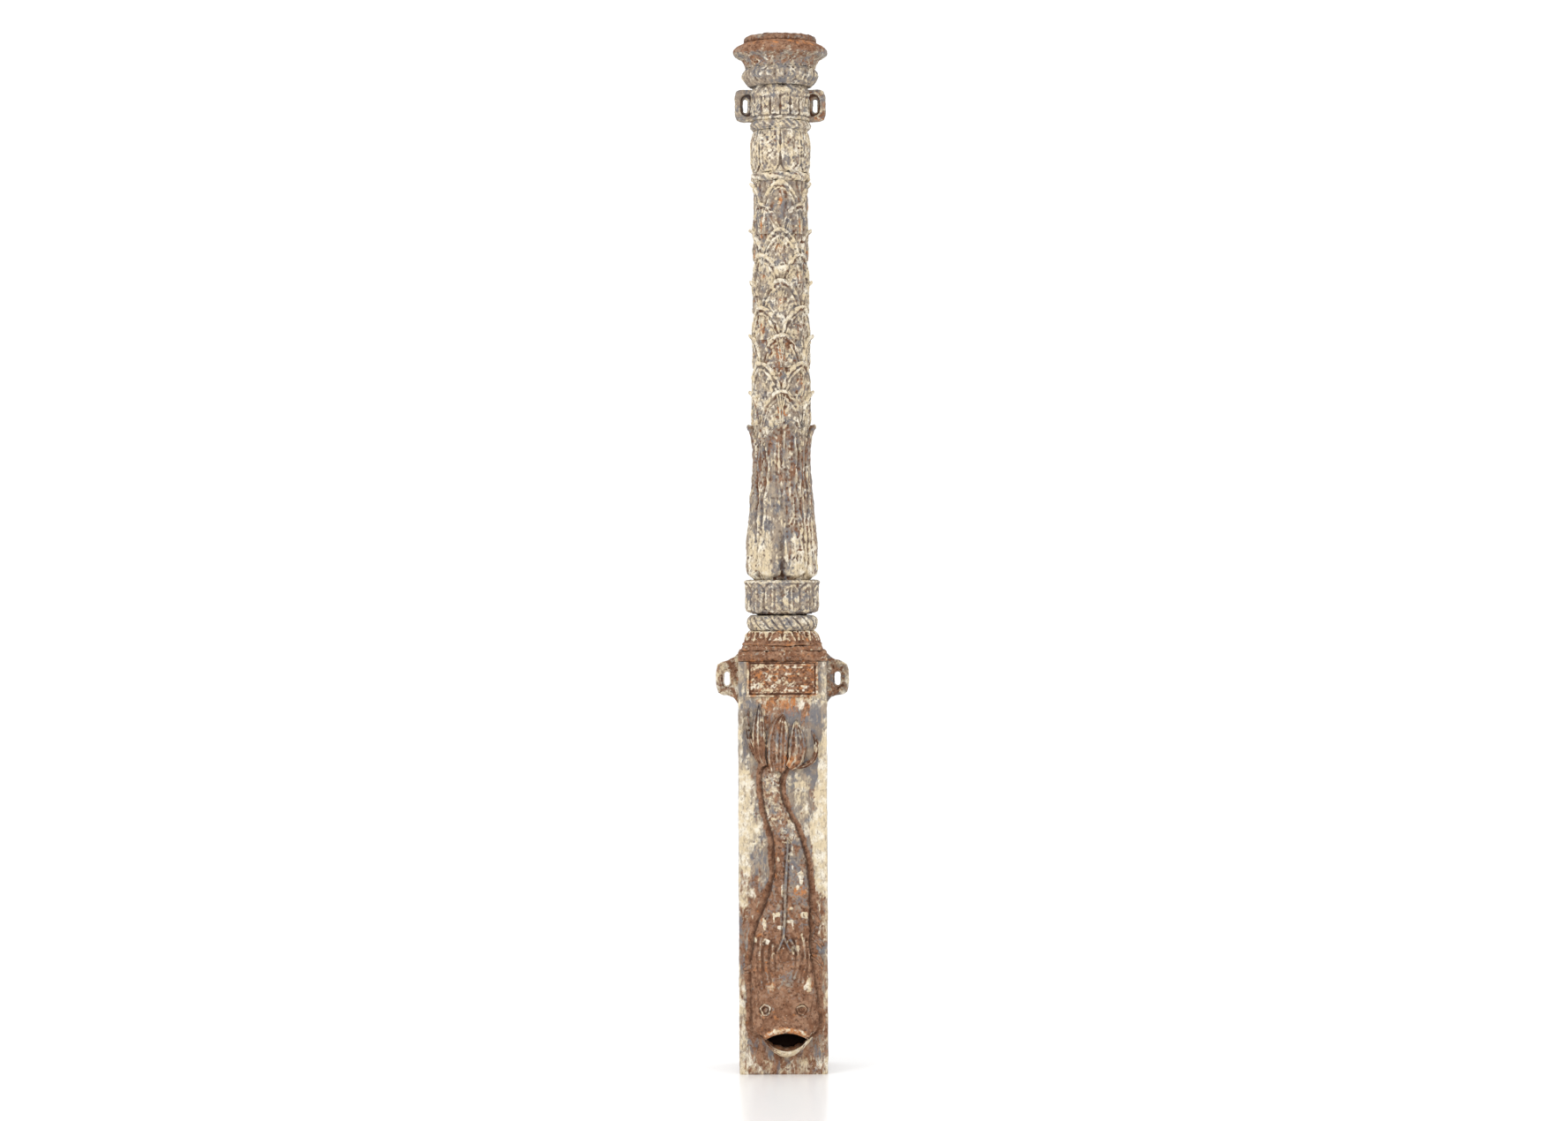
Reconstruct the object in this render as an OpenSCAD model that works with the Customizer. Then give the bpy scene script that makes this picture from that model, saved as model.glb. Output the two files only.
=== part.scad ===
// Ornamental cast-iron rainwater pipe: a palm trunk on a square boot whose fish mouth is the outlet.
// Frame: millimetres, +Z up, origin on the ground at the middle of the boot, front towards -Y, wall at +Y.

/* [Boot] */
// Width and depth of the square boot
boot_w = 170; // [164:1:210]
// Height of the boot shell, from the ground to its cap
boot_h = 791; // [640:1:1000]
// Wall of the boot shell
boot_wall = 9; // [7:0.5:14]
// Rounding of the boot's upright corners
boot_corner = 5; // [2:0.5:8]
// Thickness of the boot's bottom
floor_t = 12; // [8:1:18]
// Height of the square cap on the boot
cap_h = 20; // [12:1:30]
// Height of the square ledge on the cap
ledge_h = 10; // [6:1:18]
// Step back of the ledge from the cap, on each side
ledge_step = 7; // [3:1:10]

/* [Water way] */
// Bore of the water pipe
bore_d = 82; // [66:1:100]
// Wall of the water pipe
pipe_wall = 6; // [4:0.5:9]
// Step out from the pipe's bore to the bore of the socket above it
socket_step = 16; // [13:0.5:20]
// Wall of the sleeve inside the flange
sleeve_wall = 4; // [3:0.5:6]
// Length of pipe that stands down into the boot
spigot_len = 26; // [22:1:40]
// Width of the fish's mouth
mouth_w = 81; // [62:1:97]
// Height of the mouth above its corners
mouth_up = 11; // [8:1:14]
// Depth of the mouth below its corners
mouth_down = 24; // [18:1:28]
// Height of the mouth's corners above the ground
mouth_z = 71; // [66:1:78]
// Height of the sloping sill at the back wall
sill_back_z = 165; // [120:1:240]
// Thickness of the sloping sill
sill_t = 8; // [6:0.5:12]

/* [Stack of mouldings] */
// Height of the leafed base moulding
base_h = 28; // [20:1:40]
// Height of the rope ring
rope_h = 30; // [24:1:40]
// Height of the petal collar
petal_h = 68; // [50:1:90]
// Height of the long leaves
long_h = 293; // [230:1:360]
// Height of the scaled trunk
trunk_h = 478; // [380:1:600]
// Height of the leaf ring
leaf_ring_h = 17; // [12:1:24]
// Height of the petalled drum
drum_h = 82; // [60:1:110]
// Height of the bead ring
bead_h = 19; // [14:1:26]
// Height of the eared collar
collar_h = 67; // [64:1:90]
// Height of the gadroon ring
gadroon_h = 35; // [30:1:46]
// Height of the socket flange
flange_h = 49; // [42:1:60]
// Height of the socket ring above the flange
ring_h = 13; // [8:1:20]

/* [Relief of the pipe] */
// Thickness of the leaf bed at the foot of the trunk
bed_low = 8; // [5:0.5:12]
// Thickness of the leaf bed at the head of the trunk
bed_high = 2.5; // [1.5:0.5:5]
// How far a leaf tip stands out from its bed
tip_out = 6.5; // [4:0.5:9]
// Relief of the long leaves at their belly
belly_out = 21.5; // [14:0.5:28]
// Relief of the petal collar
petal_out = 24; // [16:0.5:28]
// Relief of the rope ring
rope_out = 22; // [17:0.5:26]
// Relief of the base moulding
base_out = 31; // [24:0.5:31]
// Relief of the leaf ring
leaf_ring_out = 11; // [7:0.5:15]
// Relief of the drum
drum_out = 11; // [7:0.5:15]
// Relief of the bead ring
bead_out = 12; // [8:0.5:16]
// Relief of the eared collar
collar_out = 9; // [6:0.5:12]
// Relief of the gadroon ring
gadroon_out = 28; // [24:0.5:34]
// Overhang of the flange past the socket's bore
flange_out = 34; // [30:0.5:42]
// Overhang of the socket ring past the socket's bore
ring_out = 13; // [9:0.5:18]

/* [Ornament] */
// Number of petals on the petal collar
petals = 12; // [10:1:20]
// Number of petals on the drum
drum_petals = 8; // [6:1:12]
// Number of turns of rope
rope_turns = 22; // [16:1:30]
// Number of gadroons
gadroons = 20; // [14:1:24]
// Number of tongues round the eared collar
tongues = 18; // [12:1:24]

/* [Ears] */
// How far a lower ear reaches out from the boot
low_ear_reach = 45; // [40:1:60]
// Height of a lower ear
low_ear_h = 67; // [50:1:80]
// Thickness of a lower ear
low_ear_t = 12; // [8:1:18]
// Distance of a lower ear's slot from the boot's flank
low_slot_step = 23.5; // [20:0.5:28]
// How far an upper ear reaches out from the collar
top_ear_reach = 30.5; // [27:0.5:40]
// Height of an upper ear
top_ear_h = 61; // [50:1:62]
// Thickness of an upper ear
top_ear_t = 26; // [18:1:36]
// Distance of an upper ear's slot from the collar
top_slot_step = 10; // [9:0.5:13]
// Width of every bolt slot
slot_w = 11; // [8:0.5:13]
// Length of every bolt slot
slot_l = 27; // [18:1:32]

/* [Hidden] */
$fn = 96;

// Enough to carry a cutter clear of the face that it cuts.
clear = 1;
// Gap between a leaf and the tip of the leaf below it.
leaf_gap = 0.6;

bore_r = bore_d / 2;
pipe_r = bore_r + pipe_wall;
socket_r = bore_r + socket_step;
sleeve_r = socket_r + sleeve_wall;

// Heights of the joints between the stacked mouldings.
z_cap = boot_h;
z_ledge = z_cap + cap_h;
z_base = z_ledge + ledge_h;
z_rope = z_base + base_h;
z_petal = z_rope + rope_h;
z_long = z_petal + petal_h;
z_trunk = z_long + long_h;
z_leaf_ring = z_trunk + trunk_h;
z_drum = z_leaf_ring + leaf_ring_h;
z_bead = z_drum + drum_h;
z_collar = z_bead + bead_h;
z_gadroon = z_collar + collar_h;
z_flange = z_gadroon + gadroon_h;
z_ring = z_flange + flange_h;
z_top = z_ring + ring_h;

// Leaf tiers: odd tiers point a leaf at the front, even tiers point one at each corner.
tiers = 9;
leaves = 4;
first_tip = 74;
last_tip = 43;
tip_spread = 0.08;
leaf_rim = 4.5;

// Boot front.
front_y = -boot_w / 2;
inside = boot_w / 2 - boot_wall;
rim_w = 5;
plate_w = boot_w - 33;
plate_h = 68;
plate_t = 6;
ears_z = z_cap - 37;
fish_k = boot_w / 170;
fish_top = 711;
neck_z = 219;
mouth_x = 5.5 * fish_k;
mouth_half = mouth_w / 2;
upper_lip_r = (mouth_half * mouth_half + mouth_up * mouth_up) / (2 * mouth_up);
lower_lip_r = (mouth_half * mouth_half + mouth_down * mouth_down) / (2 * mouth_down);
lip_t = 8;
lip_drop = 12;
seat_out = 20;

function mix(a, b, t) = a + (b - a) * t;
function tip_height(i) =
    let (u = (i - 1) / (tiers - 2))
    i < 1 ? z_trunk
    : i == tiers ? z_leaf_ring
    : z_trunk + first_tip + (trunk_h - first_tip - last_tip) * u * (1 + tip_spread * (1 - u));
function bed_r(z) = pipe_r + mix(bed_low, bed_high, (z - z_trunk) / trunk_h);
// The fish's own heights stretch with the boot above its neck.
function fish_z(z) = z <= neck_z ? z : neck_z + (z - neck_z) * (boot_h - 80 - neck_z) / (fish_top - neck_z);

// ---------------------------------------------------------------- shared shapes

// A plain ring between two radii.
module ring(r_in, r_out, z0, z1) {
    translate([0, 0, z0])
        difference() {
            cylinder(r = r_out, h = z1 - z0);
            translate([0, 0, -clear]) cylinder(r = r_in, h = z1 - z0 + 2 * clear);
        }
}

// A radial prism: its outline's x runs round the pipe and its y runs up.
module radial(angle, reach) {
    rotate([0, 0, angle])
        rotate([90, 0, 0])
            linear_extrude(height = reach)
                children();
}

// A pointed arch, half_w either side of its middle, with its tip at the given height.
module arch(half_w, tip, foot, lean = 0.5) {
    centre = half_w * lean;
    radius = half_w + centre;
    spring = tip - sqrt(radius * radius - centre * centre);
    side = half_w * 0.97;
    intersection() {
        translate([-centre, spring]) circle(r = radius);
        translate([centre, spring]) circle(r = radius);
        translate([-side, spring]) square([2 * side, radius]);
    }
    translate([-side, foot]) square([2 * side, spring - foot + clear]);
}

// A strip with round ends that stands on end about its own middle.
module stadium(w, l) {
    for (up = [-1, 1])
        translate([0, up * (l - w) / 2]) circle(d = w);
    square([w, l - w], center = true);
}

// A rectangle with four round corners.
module round_rect(w, h, r) {
    square([w - 2 * r, h], center = true);
    square([w, h - 2 * r], center = true);
    for (side = [-1, 1], up = [-1, 1])
        translate([side * (w / 2 - r), up * (h / 2 - r)]) circle(r = r);
}

// The mouth: the lens between the upper and the lower lip, as x and height.
module mouth_outline() {
    intersection() {
        translate([mouth_x, mouth_z + mouth_up - upper_lip_r]) circle(r = upper_lip_r);
        translate([mouth_x, mouth_z - mouth_down + lower_lip_r]) circle(r = lower_lip_r);
    }
}

// The mouth carried through everything in front of the chamber.
module mouth_cutter() {
    translate([0, clear - inside, 0])
        rotate([90, 0, 0])
            linear_extrude(height = boot_w) mouth_outline();
}

// A relief through rows of [height, left edge, right edge, how far it stands out], top row first,
// flat against the boot's front.
module relief(rows, steps = 8) {
    cols = steps + 1;
    last = len(rows) - 1;
    points = [for (r = rows, j = [0 : steps])
        let (a = 180 * j / steps)
            [mix(r[1], r[2], (1 - cos(a)) / 2), front_y - r[3] * sin(a), r[0]]];
    sides = [for (i = [0 : last - 1], j = [0 : cols - 1])
        let (k = (j + 1) % cols, a = i * cols, b = a + cols)
            each [[a + j, b + k, b + j], [a + j, a + k, b + k]]];
    top = [for (j = [1 : cols - 2]) [0, j + 1, j]];
    bottom = [for (j = [1 : cols - 2]) [last * cols, last * cols + j, last * cols + j + 1]];
    polyhedron(points = points, faces = concat(sides, top, bottom), convexity = 8);
}

// A raised lobe on the boot's front, from an outline of [x, height] points.
module lobe(outline, out) {
    translate([0, front_y, 0])
        rotate([90, 0, 0])
            linear_extrude(height = out)
                polygon([for (p = outline) [p[0] * fish_k, fish_z(p[1])]]);
}

// ---------------------------------------------------------------- head of the pipe

module socket_ring() {
    color("saddlebrown")
        rotate_extrude()
            union() {
                translate([socket_r, z_flange]) square([sleeve_wall, flange_h + clear]);
                translate([socket_r, z_ring]) square([ring_out - 3, ring_h]);
                translate([socket_r, z_ring]) square([ring_out, ring_h - 3]);
                translate([socket_r + ring_out - 3, z_top - 3]) circle(r = 3);
            }
}

module socket_flange() {
    rim = socket_r + flange_out;
    throat = pipe_r + gadroon_out - 7;
    rim_top = z_ring - 10;
    rim_foot = rim_top - 14;
    scoop = 13;
    color("rosybrown")
        rotate_extrude()
            difference() {
                union() {
                    translate([sleeve_r, z_flange]) square([throat - sleeve_r, rim_foot - z_flange + clear]);
                    translate([sleeve_r, rim_foot - scoop]) square([throat - sleeve_r + scoop, scoop + clear]);
                    translate([sleeve_r, rim_foot]) square([rim - sleeve_r, 14]);
                    polygon([[sleeve_r, rim_top - clear], [rim, rim_top - clear], [rim, rim_top],
                             [rim - 8, z_ring - 3], [socket_r + ring_out, z_ring], [sleeve_r, z_ring]]);
                }
                translate([throat + scoop, rim_foot - scoop]) circle(r = scoop);
            }
}

module gadroon_ring() {
    swell = pipe_r + gadroon_out;
    egg = 12;
    mid = z_flange - egg - clear;
    color("tan")
        union() {
            rotate_extrude()
                polygon([[pipe_r, z_gadroon], [pipe_r + 13, z_gadroon], [swell - 8, mid - 9], [swell - 5, mid],
                         [swell - 7, z_flange], [pipe_r, z_flange]]);
            for (i = [0 : gadroons - 1])
                rotate([0, 0, 360 * (i + 0.5) / gadroons])
                    translate([0, egg - swell, mid]) sphere(r = egg);
        }
}

module eared_collar() {
    band = pipe_r + collar_out;
    color("antiquewhite")
        union() {
            difference() {
                rotate_extrude()
                    polygon([[pipe_r, z_collar], [band + 1, z_collar], [band + 1, z_collar + 5],
                             [band - 3, z_collar + 7], [band, z_collar + 11], [band, z_gadroon - 22],
                             [band + 1, z_gadroon - 21], [band + 1, z_gadroon - 8], [band - 4, z_gadroon - 6],
                             [band - 4, z_gadroon], [pipe_r, z_gadroon]]);
                for (i = [0 : tongues - 1])
                    rotate([0, 0, 360 * (i + 0.5) / tongues])
                        translate([0, -band - 1, z_collar + 9]) cylinder(r = 3.5, h = collar_h - 34);
            }
            intersection() {
                ring(pipe_r + 1, band + 1, z_collar + 1, z_gadroon - 9);
                translate([0, 0, z_collar + collar_h / 2])
                    cube([3 * band, top_ear_t, collar_h], center = true);
            }
        }
}

// An ear beside the collar: a thick round-cornered lug with a dished slot.
module upper_ear(side) {
    corner = 13;
    band = pipe_r + collar_out + 1;
    foot = band - corner - 1;
    outer = band + top_ear_reach;
    middle = z_collar + top_ear_h / 2;
    slot_x = band + top_slot_step;
    color("sienna")
        difference() {
            translate([side * (foot + outer) / 2, top_ear_t / 2, middle])
                rotate([90, 0, 0])
                    linear_extrude(height = top_ear_t) round_rect(outer - foot, top_ear_h, corner);
            translate([side * slot_x, top_ear_t, middle])
                rotate([90, 0, 0])
                    linear_extrude(height = 2 * top_ear_t) stadium(slot_w, slot_l);
            translate([side * (slot_x - 1), 8 - top_ear_t / 2, middle])
                rotate([90, 0, 0])
                    linear_extrude(height = top_ear_t) stadium(slot_w + 8, slot_l + 14);
            translate([0, 0, z_collar - clear]) cylinder(r = band, h = collar_h + 2 * clear);
        }
}

module upper_left_ear() upper_ear(-1);

module upper_right_ear() upper_ear(1);

module bead_ring() {
    swell = bead_h * 0.36;
    color("wheat")
        rotate_extrude()
            difference() {
                union() {
                    translate([pipe_r, z_bead]) square([bead_out - swell, bead_h]);
                    translate([pipe_r + bead_out - swell, z_bead + bead_h / 2]) circle(r = swell);
                }
                translate([0, z_bead - clear]) square([pipe_r, bead_h + 2 * clear]);
            }
}

module petalled_drum() {
    out = pipe_r + drum_out;
    half_w = PI * out / drum_petals * 0.86;
    foot = z_drum + 6 + half_w;
    color("linen")
        union() {
            rotate_extrude()
                polygon([[pipe_r, z_drum], [out - 3.5, z_drum], [out - 2, z_drum + drum_h / 2],
                         [out - 5, z_bead], [pipe_r, z_bead]]);
            difference() {
                intersection() {
                    rotate_extrude()
                        polygon([[pipe_r + 1, z_drum + 1], [out - 2.5, z_drum + 1], [out - 1, z_drum + drum_h * 0.2],
                                 [out, z_drum + drum_h * 0.5], [out - 1, z_drum + drum_h * 0.7],
                                 [out - 4, z_bead - 1], [pipe_r + 1, z_bead - 1]]);
                    for (i = [0 : drum_petals - 1])
                        radial(360 * i / drum_petals, pipe_r + 2 * drum_out) {
                            translate([0, foot]) circle(r = half_w);
                            translate([-half_w, foot]) square([2 * half_w, drum_h]);
                        }
                }
                for (i = [0 : drum_petals - 1])
                    rotate([0, 0, 360 * i / drum_petals])
                        translate([-1.2, -out - 10, foot - half_w * 0.3])
                            cube([2.4, 13.5, drum_h]);
            }
        }
}

module leaf_ring() {
    out = pipe_r + leaf_ring_out;
    color("bisque")
        difference() {
            rotate_extrude()
                polygon([[pipe_r, z_leaf_ring], [out - 4, z_leaf_ring], [out, z_leaf_ring + 6],
                         [out, z_drum - 4], [out - 3, z_drum], [pipe_r, z_drum]]);
            for (i = [0 : 15])
                rotate([0, 0, 360 * (i + 0.5) / 16])
                    translate([0, -out - 1, z_leaf_ring - clear]) cylinder(r = 3, h = leaf_ring_h + 2 * clear);
        }
}

module water_pipe() {
    color("dimgray") ring(bore_r, pipe_r, z_cap - spigot_len, z_flange);
}

// ---------------------------------------------------------------- leaves

// The angle of a tier's first leaf.
function tier_turn(i) = i % 2 == 0 ? 180 / leaves : 0;

// The outlines of one tier's leaves, as prisms that run out from the pipe.
module tier_prisms(i, grow, inset) {
    tip = tip_height(i) - 0.8;
    half_w = bed_r(tip) * 0.71 - inset;
    for (k = [0 : leaves - 1])
        radial(360 * k / leaves + tier_turn(i), pipe_r + 30)
            arch(half_w + grow, tip + grow - inset, tip_height(i - 2) - 20);
}

// One tier: a length of the bed, and the four leaves that stand on it and on the bed below.
module palm_tier(i) {
    tip = tip_height(i);
    low = tip_height(i - 1);
    foot = tip_height(i - 2);
    top_r = bed_r(tip) + tip_out;
    dished_r = bed_r(tip) + tip_out / 2;
    below = i == 1 ? [[pipe_r + 0.5, low]] : [[pipe_r + 0.5, low], [bed_r(low), low], [bed_r(foot), foot]];
    color(i % 2 == 0 ? "burlywood" : "cornsilk")
        difference() {
            union() {
                rotate_extrude()
                    polygon([[pipe_r, low], [bed_r(low), low], [bed_r(tip), tip], [pipe_r, tip]]);
                intersection() {
                    rotate_extrude()
                        polygon(concat(below, [[bed_r(foot) + 2, foot], [top_r, tip - 8], [top_r - 1, tip],
                                               [pipe_r + 0.5, tip]]));
                    tier_prisms(i, 0, 0);
                }
            }
            difference() {
                intersection() {
                    rotate_extrude()
                        polygon([[bed_r(foot) + 1, foot - clear], [bed_r(foot) + 20, foot - clear],
                                 [bed_r(tip) + 20, tip + clear], [dished_r, tip + clear], [dished_r, tip - 8]]);
                    tier_prisms(i, 0, leaf_rim);
                }
                for (k = [0 : leaves - 1])
                    rotate([0, 0, 360 * k / leaves + tier_turn(i)])
                        translate([-2, -pipe_r - 40, foot - 30]) cube([4, 50, tip - foot + 60]);
            }
            if (i > 1) tier_prisms(i - 1, leaf_gap, 0);
        }
}

module palm_tier_1() palm_tier(1);

module palm_tier_2() palm_tier(2);

module palm_tier_3() palm_tier(3);

module palm_tier_4() palm_tier(4);

module palm_tier_5() palm_tier(5);

module palm_tier_6() palm_tier(6);

module palm_tier_7() palm_tier(7);

module palm_tier_8() palm_tier(8);

module palm_tier_9() palm_tier(9);

// The long leaves' outer line, as [share of their height, share of their relief].
long_line = [[0, 0.6], [0.08, 0.88], [0.17, 1], [0.31, 0.92], [0.474, 0.68], [0.6, 0.52], [0.69, 0.44],
             [0.89, 0.46], [0.97, 0.68], [1, 0.76]];

module long_profile(share, drop) {
    polygon(concat([[pipe_r, z_long]],
                   [for (p = long_line) [pipe_r + belly_out * p[1] * share - drop, z_long + long_h * p[0]]],
                   [[pipe_r, z_trunk]]));
}

module long_prisms(turn, half_w, tip) {
    for (k = [0 : leaves - 1])
        radial(360 * k / leaves + turn, pipe_r + 2 * belly_out)
            arch(half_w, tip, z_long - 20, 1.6);
}

module long_leaves() {
    leaf_half = (pipe_r + belly_out * 0.45) * 0.52;
    color("lightsteelblue")
        union() {
            rotate_extrude() long_profile(0.86, 2);
            intersection() {
                rotate_extrude() long_profile(0.95, 1);
                long_prisms(45, leaf_half, z_trunk + 1);
            }
            difference() {
                intersection() {
                    rotate_extrude() long_profile(1, 0);
                    long_prisms(0, leaf_half, z_trunk + 4);
                }
                for (k = [0 : leaves - 1])
                    rotate([0, 0, 360 * k / leaves])
                        translate([0, -pipe_r - belly_out - 1.5, z_long - clear])
                            cylinder(r = 4, h = long_h * 0.45);
            }
        }
}

module petal_collar() {
    out = pipe_r + petal_out;
    color("seashell")
        difference() {
            rotate_extrude()
                polygon([[pipe_r, z_petal], [out - 11, z_petal], [out - 5, z_petal + petal_h * 0.1],
                         [out - 2, z_petal + petal_h * 0.25], [out - 2, z_long - 18], [out, z_long - 9],
                         [out - 1.5, z_long], [pipe_r, z_long]]);
            for (i = [0 : petals - 1])
                rotate([0, 0, 360 * i / petals])
                    translate([0, -out - 1, z_petal - clear]) cylinder(r = 4.5, h = petal_h - 11);
        }
}

module rope_ring() {
    mid = z_rope + rope_h / 2;
    tube = rope_h * 0.44;
    turn_r = pipe_r + rope_out - tube;
    color("ivory")
        difference() {
            rotate_extrude()
                polygon([[pipe_r, z_rope], [turn_r, z_rope], [turn_r + tube * 0.7, mid - tube * 0.7],
                         [turn_r + tube, mid - tube * 0.25], [turn_r + tube, mid + tube * 0.25],
                         [turn_r + tube * 0.7, mid + tube * 0.7], [turn_r, z_petal], [pipe_r, z_petal]]);
            for (i = [0 : rope_turns - 1])
                rotate([0, 0, 360 * i / rope_turns])
                    translate([0, -turn_r - tube - 0.5, mid])
                        rotate([0, 38, 0])
                            cylinder(r = 3.2, h = 1.4 * rope_h, center = true);
        }
}

module base_moulding() {
    out = pipe_r + base_out;
    color("indianred")
        union() {
            rotate_extrude()
                polygon([[pipe_r, z_base], [out, z_base], [out, z_base + 4], [out - 5, z_base + 7],
                         [out - 8, z_base + 13], [out - 13, z_rope - 6], [out - 13, z_rope], [pipe_r, z_rope]]);
            for (i = [0 : 15])
                rotate([0, 0, 22.5 * i])
                    translate([0, 15 - out, z_base + 10.5]) sphere(r = 9);
        }
}

// ---------------------------------------------------------------- boot

// A square slab about the axis, with round corners.
module slab(w, z0, z1, r) {
    translate([0, 0, z0])
        linear_extrude(height = z1 - z0) round_rect(w, w, r);
}

module square_ledge() {
    color("firebrick")
        difference() {
            slab(boot_w - 2 * ledge_step, z_ledge, z_base, boot_corner);
            translate([0, 0, z_ledge - clear]) cylinder(r = pipe_r, h = ledge_h + 2 * clear);
        }
}

module boot_cap() {
    color("brown")
        difference() {
            slab(boot_w, z_cap, z_ledge, boot_corner);
            translate([0, 0, z_cap - clear]) cylinder(r = pipe_r, h = cap_h + 2 * clear);
        }
}

module boot_shell() {
    color("slategray")
        difference() {
            slab(boot_w, 0, boot_h, boot_corner);
            translate([-inside, -inside, floor_t]) cube([2 * inside, 2 * inside, boot_h]);
            mouth_cutter();
            for (side = [-1, 1])
                translate([side * inside / 2, 0, -clear]) cylinder(r = 20, h = floor_t + 2 * clear);
            for (side = [-1, 1])
                translate([side * (boot_w / 2 - 13), front_y, 12]) cylinder(r = 1.5, h = boot_h - plate_h - 24);
        }
}

module outlet_sill() {
    foot = mouth_z - mouth_down;
    drop = sill_t * 1.25;
    color("peru")
        rotate([90, 0, 90])
            linear_extrude(height = 2 * inside, center = true)
                polygon([[-inside, foot], [inside, sill_back_z], [inside, sill_back_z - drop],
                         [-inside, foot - drop]]);
}

module nameplate() {
    color("darkred")
        translate([0, front_y, boot_h - plate_h / 2])
            rotate([90, 0, 0])
                union() {
                    linear_extrude(height = plate_t - 3) round_rect(plate_w, plate_h, 6);
                    linear_extrude(height = plate_t)
                        difference() {
                            round_rect(plate_w, plate_h, 6);
                            round_rect(plate_w - 2 * rim_w, plate_h - 2 * rim_w, 4);
                        }
                }
}

// The left ear on the boot's flank, flush with the wall, with a slot through it.
module lower_ear() {
    corner = 14;
    root = boot_w / 2;
    reach = low_ear_reach;
    half_h = low_ear_h / 2;
    color("sienna")
        difference() {
            translate([-root, boot_w / 2, ears_z])
                rotate([90, 0, 0])
                    linear_extrude(height = low_ear_t) {
                        polygon([[0, half_h + 16], [-8, half_h], [corner - reach, half_h],
                                 [-reach, half_h - corner], [-reach, corner - half_h],
                                 [corner - reach, -half_h], [-8, -half_h], [0, -half_h - 18]]);
                        for (up = [-1, 1])
                            translate([corner - reach, up * (half_h - corner)]) circle(r = corner);
                    }
            translate([-root - low_slot_step, boot_w, ears_z])
                rotate([90, 0, 0])
                    linear_extrude(height = boot_w) stadium(slot_w, slot_l);
        }
}

module lower_left_ear() lower_ear();

module lower_right_ear() mirror([1, 0, 0]) lower_ear();

// ---------------------------------------------------------------- fish

// Rows of [height, left edge, right edge, relief], from the tail's root down to the neck.
body_rows = [[590, -34, 20, 10], [561, -42, -3, 13], [534, -40, 0, 14], [505, -35, 9, 16], [480, -28, 23, 18],
             [454, -20, 34, 20], [420, -18, 44, 22], [388, -17, 48, 23], [353, -25, 51, 24], [317, -39, 52, 24],
             [297, -49, 51, 24], [275, -56, 52, 25], [248, -60, 53, 25], [219, -62, 55, 26]];

module body_solid() {
    relief([for (r = body_rows) [fish_z(r[0]), r[1] * fish_k, r[2] * fish_k, r[3]]]);
}

module fish_body() {
    color("lightslategray") body_solid();
}

module fish_tail() {
    color("slategray")
        union() {
            lobe([[-38, 594], [-33, 618], [-36, 650], [-40, 680], [-43, 702], [-50, 711], [-57, 708], [-60, 690],
                  [-68, 706], [-72, 700], [-70, 670], [-64, 640], [-54, 612], [-46, 598]], 9);
            lobe([[-36, 590], [16, 590], [12, 620], [9, 650], [4, 678], [0, 688], [-14, 690], [-26, 670],
                  [-34, 640], [-38, 612]], 14);
            lobe([[0, 590], [20, 590], [34, 606], [42, 625], [38, 648], [28, 668], [20, 681], [12, 668],
                  [6, 640]], 11);
            lobe([[14, 590], [40, 592], [58, 604], [66, 625], [62, 645], [55, 656], [50, 640], [44, 622],
                  [30, 606]], 8);
        }
}

// The raised seam down the fish's back, which forks above the brow.
module dorsal_ridge() {
    rows = [[470, 2, 10, 20], [436, 5, 14, 26], [388, 4, 15, 28], [350, 0, 12, 29], [303, -3, 8, 29],
            [275, -5, 6, 30], [250, -12, 16, 29], [221, -20, 34, 28]];
    color("gray")
        difference() {
            relief([for (r = rows) [fish_z(r[0]), r[1] * fish_k, r[2] * fish_k, r[3]]], 6);
            body_solid();
        }
}

// Rows from the neck down to the corners of the mouth.
module head_solid() {
    wide = mouth_half + lip_t;
    relief([[neck_z, -62 * fish_k, 55 * fish_k, 26], [190, -63 * fish_k, 58 * fish_k, 28],
            [165, -62 * fish_k, 62 * fish_k, 31], [140, -62 * fish_k, 66 * fish_k, 35],
            [118, -61 * fish_k, 68 * fish_k, 40], [100, -62 * fish_k, 68 * fish_k, 45],
            [mouth_z + 18, -61 * fish_k, 68 * fish_k, 47], [mouth_z + 9, -58 * fish_k, 64 * fish_k, 45],
            [mouth_z, mouth_x - wide, mouth_x + wide, 38]], 12);
}

module eye_seat(side) {
    translate([side * 34 * fish_k, front_y - seat_out, 128])
        rotate([90, 0, 0]) cylinder(r = 10.5, h = 40);
}

module fish_head() {
    color("darkgoldenrod")
        difference() {
            head_solid();
            mouth_cutter();
            eye_seat(-1);
            eye_seat(1);
        }
}

// An eye in its seat: a rim round a ball.
module eye(side) {
    color("goldenrod")
        translate([side * 34 * fish_k, front_y - seat_out, 128])
            rotate([90, 0, 0])
                union() {
                    difference() {
                        cylinder(r = 10.5, h = 15);
                        translate([0, 0, 11]) cylinder(r = 7.5, h = 10);
                    }
                    translate([0, 0, 8]) sphere(r = 6);
                }
}

module left_eye() eye(-1);

module right_eye() eye(1);

module lower_lip() {
    wide = mouth_half + lip_t;
    deep = mouth_down + lip_drop;
    color("chocolate")
        difference() {
            relief([for (t = [0, 0.15, 0.3, 0.5, 0.7, 0.85, 0.96])
                [mouth_z - deep * t, mouth_x - wide * sqrt(1 - t), mouth_x + wide * sqrt(1 - t), 38 - 26 * t * t]],
                12);
            mouth_cutter();
        }
}

module left_fin() {
    color("darkkhaki")
        difference() {
            lobe([[-56, 232], [-68, 224], [-77, 208], [-80, 192], [-74, 186], [-66, 180], [-54, 178]], 10);
            body_solid();
            head_solid();
        }
}

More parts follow.
